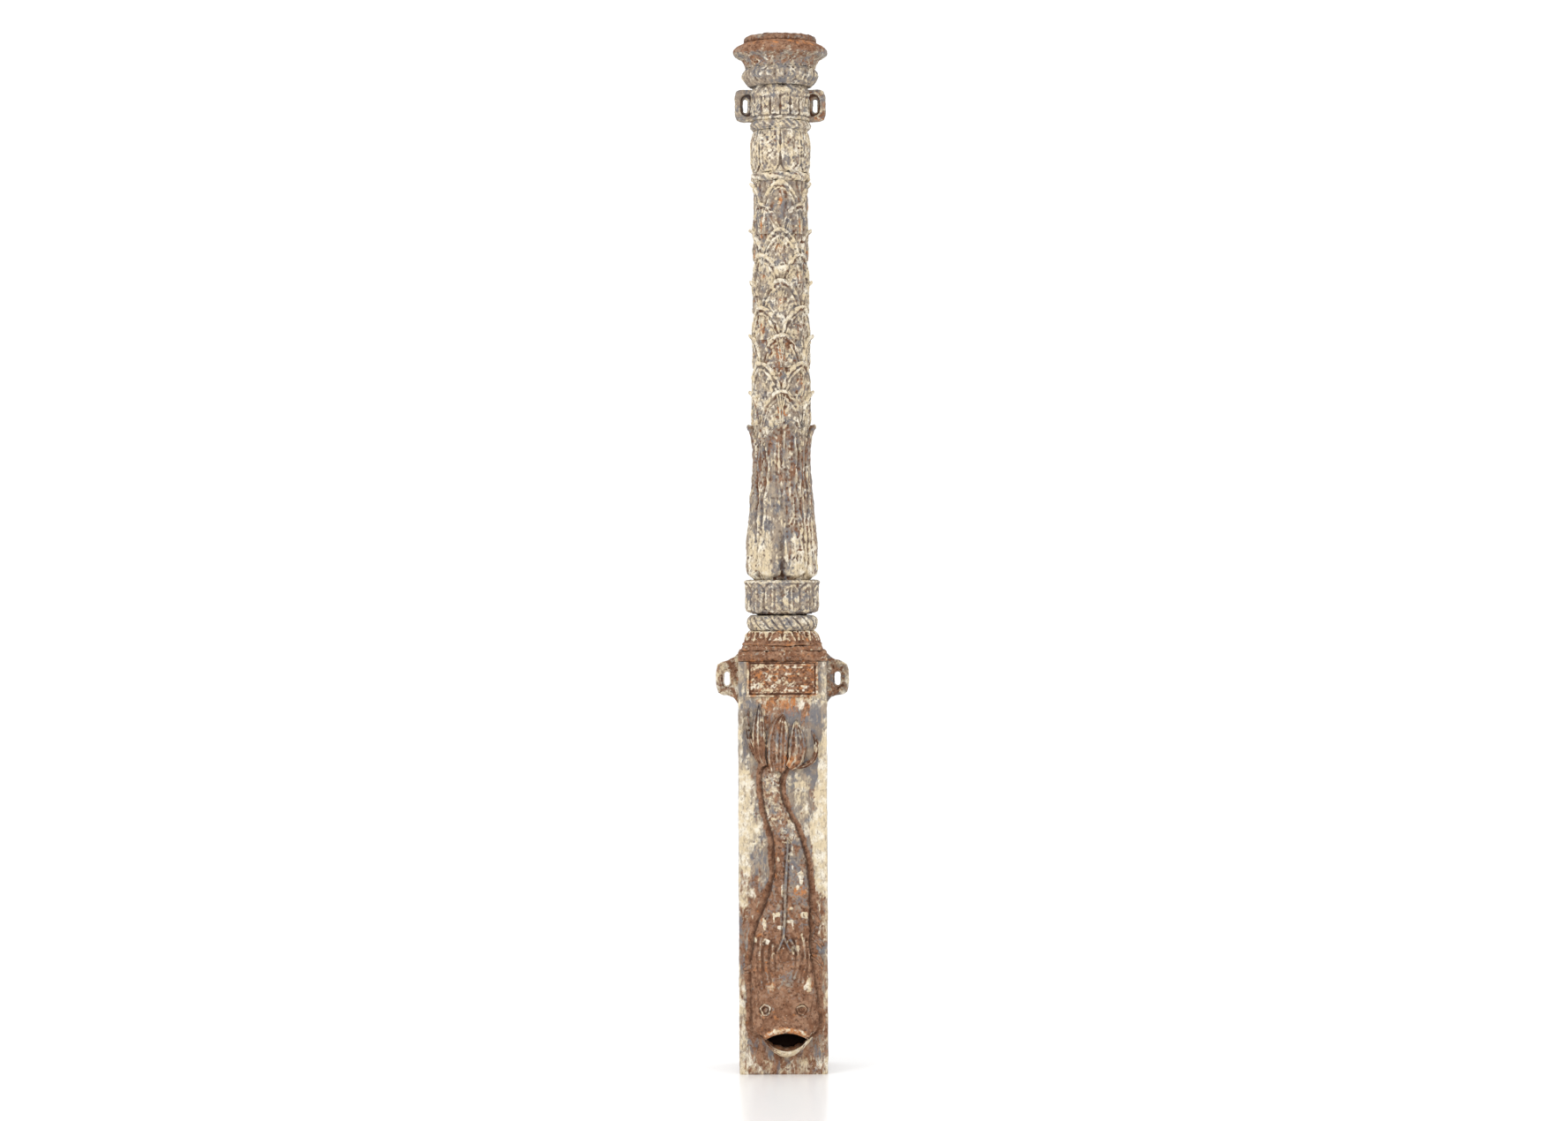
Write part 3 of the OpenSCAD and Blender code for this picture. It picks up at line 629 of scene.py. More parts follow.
def petalled_drum():
    foot, top = heights("petalled_drum")
    petals = 8
    outline = [[PIPE_R + 3, foot], [53.5, foot], [54.5, foot + 3], [56.5, foot + 14], [57.5, foot + 35],
               [57, foot + 58], [54.5, foot + 74], [52.5, top - 2], [52.5, top], [PIPE_R + 3, top]]

    def relief(theta, z):
        place, _ = fold(theta, petals, np.pi / petals)
        x = np.abs(place) * 57
        half = 57 * np.pi / petals
        up = z - foot
        edge = np.where(up > half, half - x, half - np.hypot(x, np.maximum(half - up, 0) * 0.9))
        rim = 1.5 * bump(edge - 3.5, 2.6) - 2.4 * bump(edge, 1.6)
        rib = 1.1 * bump(x, 3.0) * smooth(8, 20, up)
        return (rim + rib) * smooth(1, 5, up) * smooth(82, 76, up)

    turned("petalled_drum", outline, relief, "flaked_paint", even_coat(cream=0.15, grey=0.1), 55,
           columns=300, depth=0.9)


def leaf_ring():
    foot, top = heights("leaf_ring")
    outline = [[PIPE_R + 1, foot], [51, foot], [54, foot + 2], [57.5, foot + 6], [58, foot + 10],
               [56, top - 3], [55, top], [PIPE_R + 3, top]]

    def relief(theta, z):
        place, _ = fold(theta, 16)
        curl = np.abs(place) * 16 / np.pi
        return 1.7 * (0.5 - curl) * smooth(foot + 1, foot + 6, z) + 1.2 * np.sin(8 * theta + (z - foot) * 0.5)

    turned("leaf_ring", outline, relief, "flaked_paint", even_coat(cream=0.1), 65, columns=300, depth=0.8)


# ---------------------------------------------------------------- leaves round the trunk

def leafy(node, foot, tops, radius, coats, slot, seed, columns, rows, lip=3.5, bed_ring=False):
    """A cup round the pipe whose upper edge follows its leaves."""
    theta = np.linspace(0, 2 * np.pi, columns, endpoint=False)[:, None]
    top = tops(theta)
    z = mix(foot, top, np.linspace(0, 1, rows)[None, :])
    outer = round_pipe(radius(theta, z, top), theta, z)
    normals = grid_normals(outer, (True, False), outwards(outer))
    outer = cast_skin(outer, normals, seed, 0.75)
    edge = outer[:, -1:]
    radial = outwards(edge)
    up = np.array([0, 0, 1.0])
    over = [edge - radial * lip * t + up * lip * s for t, s in ((0.15, 0.22), (0.5, 0.32), (0.85, 0.12))]
    bore = [round_pipe(np.full((columns, 1), PIPE_R), theta, mix(top - 4, foot, t)) for t in (0, 0.5, 1)]
    points = np.concatenate([outer] + over + bore, axis=1)
    stand = stands(outer, (True, False), outwards(outer))
    # The bore is marked as a hollow, so it takes painted shade.
    stand = np.concatenate([stand, np.repeat(stand[:, -1:], 3, 1), np.full((columns, 3), -1.0)], axis=1)
    coat = coats(points, theta)
    solid = Solid()
    solid.add(points.reshape(-1, 3), quads(*points.shape[:2], (True, True)), coat.reshape(-1, 4), stand.ravel())
    if bed_ring:
        solid_bed(solid, foot, TRUNK_HEAD, theta, seed + 50)
    return solid.piece(node + "_casting", slot, node)


def solid_bed(solid, foot, top, theta, seed):
    """The plain bed that shows between the highest leaves."""
    z = np.broadcast_to(np.linspace(foot, top, 60), (len(theta), 60))
    flutes = 0.9 * np.sin(24 * theta + np.sin(z / 9))
    face = round_pipe(bed(z) + 1.5 + flutes, theta, z)
    face = cast_skin(face, outwards(face), seed, 0.6)
    back = round_pipe(np.full((len(theta), 2), PIPE_R), theta, np.array([[top, foot]]) + 0 * theta)
    points = np.concatenate([face, back], axis=1)
    stand = np.concatenate([stands(face, (True, False), outwards(face)), np.zeros((len(theta), 2))], axis=1)
    # The bed is darker than the leaves over it: painted shade between the leaves.
    coat = coat_of(points, cream=-0.1, shade_and_dirt=0.12)
    solid.add(points.reshape(-1, 3), quads(*points.shape[:2], (True, True)), coat.reshape(-1, 4), stand.ravel())


LEAF_HALF = 42.0
LEAF_DROP = 62.0
BED_LOW = 8.0
BED_HIGH = 2.5
TIP_OUT = 9.0
HIDDEN_FOOT = 34.0


def bed(z):
    return PIPE_R + mix(BED_LOW, BED_HIGH, (z - TRUNK_FOOT) / (TRUNK_HEAD - TRUNK_FOOT))


def leaf_drop(x):
    u = np.clip(np.abs(x) / LEAF_HALF, 0, 1)
    return LEAF_DROP * (1 - (1 - u ** 1.8) ** 0.55)


def palm_tier(tier):
    """Four broad leaves with a double rim, a bud and veins, whose tips curl outwards."""
    node = f"palm_tier_{tier}"
    foot, tip = heights(node)
    foot -= 12 if tier > 2 else HIDDEN_FOOT
    turn = 0 if tier % 2 else math.pi / LEAVES
    girth = bed(tip)

    def place(theta):
        angle, which = fold(theta, LEAVES, turn)
        odd = hashed(np.stack([which, which * 0 + tier, which * 0], -1), 3)
        return angle * girth * LEAF_HALF / (girth * np.pi / LEAVES), odd

    def tops(theta):
        x, odd = place(theta)
        return tip - leaf_drop(x + 2.5 * odd * bump(x, 20)) - 1.2 * np.abs(odd)

    def radius(theta, z, top):
        x, odd = place(theta)
        slope = np.gradient(leaf_drop(np.abs(x)), axis=0) / np.maximum(np.abs(np.gradient(x, axis=0)), 0.05)
        spots = round_pipe(np.full_like(z, girth), theta, z)
        inside = (top - z) / np.sqrt(1 + np.clip(slope, -4, 4) ** 2)
        inside = inside + 2.2 * noise(spots, 10, 170 + tier) * smooth(0, 5, inside)
        x = x + 2.5 * noise(spots, 16, 190 + tier)
        below = tip - z
        curl = TIP_OUT * np.clip(1 - below / 22, 0, 1) ** 1.8 * bump(x, 20)
        rim = 3.2 * bump(inside - 4, 3.6) - 1.6 * bump(inside - 9.5, 2.4) + 2.2 * bump(inside - 14, 2.8)
        hollow = -2.6 * smooth(15, 22, inside)
        bud_x = x / (3.5 + 4.5 * smooth(22, 52, below))
        bud = 3.4 * np.exp(-bud_x ** 2) * smooth(19, 30, below) * smooth(74, 50, below)
        groove = -1.0 * bump(np.abs(x) - 3 - 8 * smooth(22, 52, below), 1.5) * smooth(22, 32, below)
        veins = 0.6 * np.sin(np.abs(x) * 0.5 + z * 0.25) * smooth(11, 18, inside) * smooth(5, 10, np.abs(x))
        gap = -1.2 * bump(inside, 1.0)
        swell = 1.6 + 0.8 * odd
        worn = 0.75 + 0.45 * noise(spots, 22, 210 + tier)
        return bed(z) + swell + curl + rim * worn + hollow + bud + groove + veins + gap

    def coats(points, theta):
        z = points[..., 2]
        x, odd = place(theta)
        heart = bump(x, 15) * bump(tip - z - 40, 26) * (1.0 if tier > 6 else 0.6)
        # Less cream and a touch of painted shade in each leaf's hollow, and more cream near its rim: partly worn paint,
        # partly painted shade and painted highlight.
        hollow = bump(x, 17) * bump(tip - z - 42, 26)
        rim = smooth(16, 6, tip - leaf_drop(x) - z)
        patches = noise(points, 34, 230)
        cream = 0.1 * odd + 0.16 * rim - 0.14 * hollow + 0.16 * patches + 0.12 - 0.12 * heart
        return coat_of(points, cream=cream, orange=0.9 * heart, grey=0.25 * odd - 0.7 * heart + 0.1,
                       shade_and_dirt=0.04 * hollow)

    leafy(node, foot, tops, radius, coats, "flaked_paint", 100 + tier, 288, 84, bed_ring=tier == TIERS)


def long_leaves():
    foot, top = heights("long_leaves")
    top += 8
    tall = top - foot
    line = [[0, 61], [4, 64.5], [12, 67], [24, 68.3], [50, 68.5], [91, 66.5], [139, 61.5], [175, 58],
            [202, 56], [262, 56], [280, 59], [tall - 2, 62.5]]

    def place(theta):
        angle, _ = fold(theta, LEAVES)
        return angle * 60

    def tops(theta):
        return top - 27 * np.clip(np.abs(place(theta)) / 31, 0, 1) ** 1.5

    def radius(theta, z, edge_z):
        up = z - foot
        x = place(theta)
        wave = 2.2 * np.sin(up / 17 + 2 * np.sin(theta)) + 1.2 * np.sin(up / 7.5)
        border = np.abs(x) - mix(39, 29, smooth(40, 210, up)) - wave
        seam = 1.9 * bump(border, 2.8) - 2.6 * bump(border - 6.5, 3.2) + 1.6 * bump(border - 13, 3)
        rib_half = mix(6.5, 1.8, smooth(10, 120, up))
        rib = -mix(6.5, 2.0, smooth(5, 110, up)) * bump(x, rib_half)
        rib = rib + 1.3 * bump(np.abs(x) - rib_half - 3, 2.4)
        middle = 1.6 * bump(x, 1.4) * smooth(60, 110, up)
        lobe = np.abs(np.abs(x) - 23.5)
        foot_edge = up - 4 - 0.022 * lobe ** 2
        tuck = -7 * smooth(5, -3, foot_edge)
        curl = 3.2 * smooth(22, 0, edge_z - z) * bump(x, 26)
        rim = 1.6 * bump(edge_z - z - 4, 3.5)
        stretched = round_pipe(np.full_like(z, 62), theta, z * 0.13)
        grain = 1.5 * noise(stretched, 5.5, 77) + 0.9 * noise(stretched, 3.0, 78)
        return follow(line, up) + seam + rib + middle + tuck + curl + rim + grain * smooth(2, 14, up)

    def coats(points, theta):
        z = points[..., 2] - foot
        x = place(theta)
        side = np.sin(theta)
        low = smooth(150, 40, z)
        # Darker along the rib's groove low on each leaf: painted shade.
        return coat_of(points, cream=0.5 * low * smooth(8, 26, np.abs(x)) + 0.04,
                       grey=0.5 * bump(z - 110, 70) * smooth(0.6, -0.2, side) + 0.15 + 0.1 * low,
                       orange=0.2 * smooth(0.1, 0.8, side) + 0.5 * bump(np.hypot(z - 165, side * 60 - 8), 14),
                       shade_and_dirt=0.4 * bump(x, 4) * smooth(60, 10, z))

    leafy("long_leaves", foot, tops, radius, coats, "grey_paint", 120, 336, 200)


def petal_collar():
    foot, top = heights("petal_collar")
    petals = 12
    outline = [[PIPE_R + 4, foot], [60, foot], [60.5, foot + 3], [66, foot + 5], [69, foot + 9],
               [70, foot + 20], [68.5, foot + 38], [68.5, foot + 50], [72, foot + 60], [74, foot + 65],
               [70, foot + 68], [64, top], [PIPE_R + 4, top]]

    def relief(theta, z):
        place, _ = fold(theta, petals, np.pi / petals)
        x, up = np.abs(place) * 69, z - foot
        spots = round_pipe(np.full_like(z, 69), theta, z)
        arch = 16 - np.hypot(x, np.maximum(up - 45, 0)) + 1.2 * noise(spots, 12, 76)
        petal = 2.6 * smooth(-2.5, 4, arch) - 1.2 * smooth(5, 11, arch)
        rib = 1.4 * bump(x, 3.5) * smooth(56, 40, up) + 0.5 * np.cos(x * 0.9) * smooth(4, 8, arch)
        between = -1.0 * bump(arch + 1, 2.6)
        foot_arch = up - 5 - 0.035 * x ** 2
        return (petal + rib + between) * smooth(0, 5, foot_arch) * smooth(66, 60, up) - 3 * smooth(1, -4, foot_arch)

    # Darker at the collar's foot under the petals: painted shade.
    turned("petal_collar", outline, relief, "flaked_paint",
           lambda p, t: coat_of(p, cream=0.0, grey=0.15, orange=0.1, shade_and_dirt=0.35 * smooth(6, 3, p[..., 2] - foot)),
           75, columns=384, pitch=1.2, depth=0.6)


def rope_ring():
    foot, top = heights("rope_ring")
    strands, middle = 24, (foot + top) / 2
    outline = [[PIPE_R + 4, foot], [60, foot], [64.5, foot + 3], [68, foot + 8], [69, middle],
               [68, top - 8], [64.5, top - 3], [61, top], [PIPE_R + 4, top]]

    def relief(theta, z):
        turn = theta * strands / (2 * np.pi) + (z - middle) / 24 + 0.15 * np.sin(5 * theta)
        across = np.abs(turn % 1 - 0.5) * 2
        return 4.2 * (np.sqrt(np.clip(1 - across ** 2.5, 0, 1)) - 0.9) * smooth(foot + 1, foot + 6, z) * \
            smooth(top - 1, top - 6, z)

    turned("rope_ring", outline, relief, "flaked_paint", even_coat(cream=0.0, grey=0.3), 85, columns=384,
           pitch=1.1, depth=0.6)


def base_moulding():
    foot, top = heights("base_moulding")
    outline = [[PIPE_R + 8, foot], [78, foot], [78.5, foot + 3], [74, foot + 6], [72.5, foot + 11],
               [69, foot + 17], [66, foot + 22], [65.5, top - 3], [64.5, top], [PIPE_R + 4, top]]

    def relief(theta, z):
        place, _ = fold(theta, 16)
        x, up = np.abs(place) * 70, z - foot
        spots = round_pipe(np.full_like(z, 70), theta, z)
        leaf = 2.6 * bump(x - 2 - 0.35 * (up - 8), 3.2) - 1.4 * bump(x, 1.6) + 2.4 * noise(spots, 8, 96)
        return (leaf - 0.4) * smooth(6, 10, up) * smooth(28, 25, up)

    turned("base_moulding", outline, relief, "rusted_iron",
           lambda p, t: coat_of(p, cream=0.42 * smooth(foot + 6, foot + 12, p[..., 2]), orange=0.25), 95,
           columns=360, pitch=1.2, depth=0.8)


# ---------------------------------------------------------------- boot

def square_ledge():
    low, high = corners("square_ledge")
    foot, top, half = low[2], high[2], high[0]
    outline = [[half - 20, foot], [half, foot], [half + 0.6, foot + 3], [half - 1.5, top - 2],
               [half - 4, top], [half - 22, top]]
    turned("square_ledge", outline, plain, "rusted_iron", even_coat(orange=0.1), 135, columns=440, pitch=1.4,
           square=5, depth=0.8)


def boot_cap():
    low, high = corners("boot_cap")
    foot, top, half = low[2], high[2], high[0]
    outline = [[half - 20, foot], [half - 1, foot], [half, foot + 3], [half, foot + 9], [half - 1.2, foot + 11],
               [half, foot + 13], [half, top - 4], [half - 2.5, top], [half - 22, top]]
    turned("boot_cap", outline, plain, "rusted_iron", even_coat(orange=0.15, cream=0.02), 145, columns=440,
           pitch=1.4, square=5, depth=0.9)


def mouth_arc(x, rise):
    """Height above the mouth's corners of the arc that rises by rise at the mouth's middle."""
    radius = (MOUTH_HALF ** 2 + rise ** 2) / (2 * rise)
    flat = np.clip(np.abs(x - MOUTH_X), 0, MOUTH_HALF)
    return rise - radius + np.sqrt(radius ** 2 - flat ** 2)


def in_mouth(x, z, grow=0.0):
    inside = np.abs(x - MOUTH_X) < MOUTH_HALF + grow
    return inside & (z < MOUTH_Z + mouth_arc(x, MOUTH_UP) + grow) & (z > MOUTH_Z - mouth_arc(x, MOUTH_DOWN) - grow)


# The fish's left and right edges on the boot's front, as [height, left, right].
FISH_EDGES = [[592, -36, 14], [581, -41, 2], [561, -42, -5], [534, -40, -2], [505, -35, 9], [480, -28, 23],
              [454, -20, 34], [420, -18, 44], [388, -17, 48], [353, -25, 51], [317, -39, 52], [297, -48, 50],
              [275, -55, 52], [248, -59, 52], [219, -62, 54], [190, -63, 58], [165, -62, 62], [140, -62, 65],
              [111, -61, 68], [91, -61, 67], [81, -57, 62], [74, -49, 55], [69, -41, 48]]
# How far the fish stands out at each height.
FISH_OUT = [[592, 9], [561, 12], [505, 16], [454, 20], [388, 23], [317, 24], [250, 25], [219, 26], [190, 28],
            [165, 31], [140, 35], [118, 40], [100, 44], [82, 46], [69, 40]]
BROWS = [[(-43, 262), (-46, 228), (-44, 190), (-41, 168)], [(-29, 258), (-34, 232), (-33, 200), (-29, 180)],
         [(38, 262), (42, 235), (41, 205), (37, 180)], [(25, 258), (29, 232), (27, 205), (22, 188)],
         [(-57, 172), (-53, 150), (-49, 120)], [(61, 150), (58, 132), (54, 114)],
         [(-20, 250), (-22, 225), (-20, 205)], [(46, 255), (50, 225), (49, 200)]]
FIN_LINES = [[(54, 316), (60, 303), (68, 292), (66, 283), (58, 276)], [(56, 268), (68, 258), (77, 246)],
             [(54, 232), (68, 224), (78, 206)], [(-58, 212), (-68, 203), (-78, 202)]]
SEAM = [(9, 452), (9, 436), (6, 390), (4, 350), (2.5, 303), (0, 262)]
SEAM_FORKS = [[(0, 264), (-5, 252), (-11, 238)], [(2, 264), (8, 250), (14, 238)], [(12, 262), (20, 250), (27, 236)]]


def fish_edges(z):
    return curve_through(FISH_EDGES, z, 1), curve_through(FISH_EDGES, z, 2)


def fish_height(x, z):
    """How far the fish's skin stands out from the boot's front."""
    left, right = fish_edges(z)
    across = np.clip((x - left) / (right - left), 0, 1)
    round_back = np.sin(np.pi * across) ** 0.5
    height = curve_through(FISH_OUT, z) * round_back
    for path in BROWS:
        away = distance_to(path, x, z)
        height = height + (2.0 * bump(away, 2.4) - 1.4 * bump(away - 4.8, 2.2)) * smooth(0.02, 0.15, round_back)
    snout = smooth(100, 86, z) * smooth(0.3, 0.6, round_back)
    return height + 2.0 * snout


def front_shell(solid, x, z, out, coat, seed, sunk=2.5, depth=0.5):
    """A raised patch on the boot's front, closed behind."""
    outer = np.stack([x, FRONT - out, z], -1)
    normals = grid_normals(outer, (False, False), np.array([0, -1.0, 0]))
    outer = cast_skin(outer, normals, seed, depth)
    inner = np.stack([x, np.full_like(x, FRONT + sunk), z], -1)
    solid.add_shell(outer, inner, coat(outer))


def fish_body():
    high, low = heights("fish_body")[1], NECK_Z - 1
    rows = np.linspace(high, low, 300)[:, None]
    across = (1 - np.cos(np.pi * np.linspace(0, 1, 90)))[None, :] / 2
    left, right = fish_edges(rows)
    x = mix(left, right, across)
    z = np.broadcast_to(rows, x.shape)

    def coats(points):
        away = np.minimum(np.abs(x - left), np.abs(right - x))
        flat = np.stack([x, 0 * x, z], -1)
        ovals = smooth(0.35, 0.6, noise(flat * (1, 1, 0.7), 9, 63)) * smooth(215, 250, z) * smooth(480, 430, z)
        seam = np.minimum.reduce([distance_to(path, x, z) for path in [SEAM] + SEAM_FORKS])
        cream = 0.38 * smooth(420, 490, z) + 0.7 * ovals - 0.15 * smooth(560, 585, z) - 0.17
        grey = 0.2 * bump(z - 330, 70) + 0.3 * smooth(400, 500, z) - 0.22
        grey = grey + 0.4 * bump(z - 410, 60) * smooth(-5, 15, x)
        orange = 0.8 * bump(np.hypot(x - 31, z - 355), 13) + 0.7 * bump(np.hypot(x - 10, z - 592), 22)
        # Darker along the fish's edges and beside the ridge lines: painted shade in the creases.
        return coat_of(points, cream=cream, grey=grey, orange=orange + 0.12 * smooth(200, 260, z),
                       shade_and_dirt=0.7 * smooth(5, 1, away) + 0.08 + 0.6 * bump(seam - 4.2, 1.6))

    solid = Solid()
    front_shell(solid, x, z, fish_height(x, z), coats, 201)
    solid.piece("fish_body_casting", "grey_paint", "fish_body", look="mottled_paint")


def strip(solid, path, half, lift, seed, coats, base=fish_height, steps=None):
    """A raised line that follows path over a surface; half and lift may change along it."""
    path = np.array(path, float)
    along = np.concatenate([[0], np.cumsum(np.hypot(*np.diff(path, axis=0).T))])
    count = steps or max(int(along[-1] / 1.5), 6)
    at = np.linspace(0, along[-1], count + 1)
    line = np.stack([np.interp(at, along, path[:, k]) for k in range(2)], -1)
    for _ in range(6):
        line[1:-1] = (line[:-2] + line[1:-1] * 2 + line[2:]) / 4
    ahead = np.gradient(line, axis=0)
    ahead /= np.linalg.norm(ahead, axis=1, keepdims=True)
    t = at / along[-1]
    wide = np.interp(t, np.linspace(0, 1, len(np.atleast_1d(half))), np.atleast_1d(half))[:, None]
    tall = np.interp(t, np.linspace(0, 1, len(np.atleast_1d(lift))), np.atleast_1d(lift))[:, None]
    s = np.linspace(-1, 1, 25)[None, :]
    x = line[:, :1] + ahead[:, 1:] * wide * s
    z = line[:, 1:] - ahead[:, :1] * wide * s
    profile = np.clip(1 - np.abs(s) ** 2.4, 0, 1) ** 0.6
    out = base(x, z) + tall * profile
    outer = np.stack([x, FRONT - out, z], -1)
    normals = grid_normals(outer, (False, False), np.array([0, -1.0, 0]))
    outer = cast_skin(outer, normals, seed, 0.3)
    inner = np.stack([x, np.minimum(FRONT + 2.5, outer[..., 1] + 3), z], -1)
    solid.add_shell(outer, inner, coats(outer))
    return line


def edge_shade(points):
    """Painted shade along both sides of a strip."""
    return 0.6 * smooth(0.6, 0.95, np.abs(np.linspace(-1, 1, points.shape[1])))


def dorsal_ridge():
    solid = Solid()
    coats = lambda points: coat_of(points, cream=0.14, grey=0.7, shade_and_dirt=edge_shade(points))
    strip(solid, SEAM, [1.5, 2.6, 2.6, 3.0], [1.5, 2.6, 2.6, 3.0], 211, coats)
    for k, path in enumerate(SEAM_FORKS):
        strip(solid, path, [2.4, 1.6], [2.8, 1.5], 212 + k, coats)
    solid.piece("dorsal_ridge_casting", "rusted_iron", "dorsal_ridge")


# Each lobe of the tail: rows of [x, height, half width], from its root to its tip, and its relief.
TAIL_LOBES = [
    ([(-44, 602, 2), (-56, 616, 4), (-63, 636, 4.5), (-67, 662, 4.5), (-67, 684, 3.5), (-64, 704, 1)], 10, 1),
    ([(-36, 592, 7), (-44, 610, 11.5), (-46, 636, 14), (-46, 662, 13.5), (-45, 688, 9), (-44, 711, 1.5)], 14, 2),
    ([(-10, 582, 15), (-11, 606, 20), (-10, 636, 21), (-7, 660, 19), (-4, 676, 13), (2, 690, 3)], 18, 3),
    ([(12, 588, 9), (24, 602, 16), (28, 624, 18), (28, 644, 16), (27, 662, 10), (26, 680, 2)], 16, 2),
    ([(16, 589, 3), (40, 590, 4.5), (58, 601, 5), (65, 618, 5), (65, 636, 4.5), (60, 650, 3), (55, 659, 1)], 11, 1),
]


def fish_tail():
    solid = Solid()
    for index, (rows, out, ribs) in enumerate(TAIL_LOBES):
        table = np.array(rows, float)
        path = table[:, :2]

        def coats(points, index=index):
            x, z = points[..., 0], points[..., 2]
            return coat_of(points, cream=0.06 * (index != 2) - 0.06, grey=0.3 * (index != 2) * smooth(620, 680, z)
                           - 0.05, orange=0.9 * bump(np.hypot(x - 16, z - 598), 16) + 0.2 * (index == 2), shade_and_dirt=0.06)

        tail_lobe(solid, path, table[:, 2], out, ribs, 220 + 7 * index, coats)
    solid.piece("fish_tail_casting", "grey_paint", "fish_tail")


def tail_lobe(solid, path, half, out, ribs, seed, coats):
    """A leaf-shaped lobe with raised borders and ribs along it."""
    along = np.concatenate([[0], np.cumsum(np.hypot(*np.diff(path, axis=0).T))])
    at = np.linspace(0, along[-1], max(int(along[-1] / 1.5), 8) + 1)
    line = np.stack([np.interp(at, along, path[:, k]) for k in range(2)], -1)
    wide = np.interp(at, along, half)
    for _ in range(10):
        line[1:-1] = (line[:-2] + line[1:-1] * 2 + line[2:]) / 4
        wide[1:-1] = (wide[:-2] + wide[1:-1] * 2 + wide[2:]) / 4
    ahead = np.gradient(line, axis=0)
    ahead /= np.linalg.norm(ahead, axis=1, keepdims=True)
    s = np.sin(np.linspace(-np.pi / 2, np.pi / 2, 41))[None, :]
    x = line[:, :1] + ahead[:, 1:] * wide[:, None] * s
    z = line[:, 1:] - ahead[:, :1] * wide[:, None] * s
    t = (at / along[-1])[:, None]
    body = np.clip(1 - np.abs(s) ** 4, 0, 1) ** 0.5
    scale = np.clip(wide[:, None] / 5, 0.3, 1)
    border = 1.6 * bump(np.abs(s) - 0.78, 0.13) - 2.2 * bump(np.abs(s) - 0.52, 0.16)
    rib = 1.4 * np.cos(s * np.pi * ribs * 1.5 + t * 2) * smooth(0.5, 0.25, np.abs(s))
    rise = out * mix(1.0, 0.55, t) * smooth(1.02, 0.85, t)
    front_shell(solid, x, z, np.maximum(rise * body + (border + rib) * scale * body, 0), coats, seed, depth=0.6)


def fins():
    left, right = Solid(), Solid()
    coats = lambda points: coat_of(points, cream=0.06, grey=0.2, orange=0.15, shade_and_dirt=edge_shade(points))
    flat = lambda x, z: np.zeros_like(x)
    for index, path in enumerate(FIN_LINES):
        solid = left if path[0][0] < 0 else right
        strip(solid, path, [2.5, 5.5, 4.5, 1.2], [4, 6, 5, 1], 240 + index, coats, base=flat)
        path_low = [(x * 0.97, z - 6) for x, z in path]
        strip(solid, path_low, [2, 3.5, 3, 1], [2, 3.5, 3, 0.6], 250 + index, coats, base=flat)
    left.piece("left_fin_casting", "rusted_iron", "left_fin")
    right.piece("right_fin_casting", "rusted_iron", "right_fin")


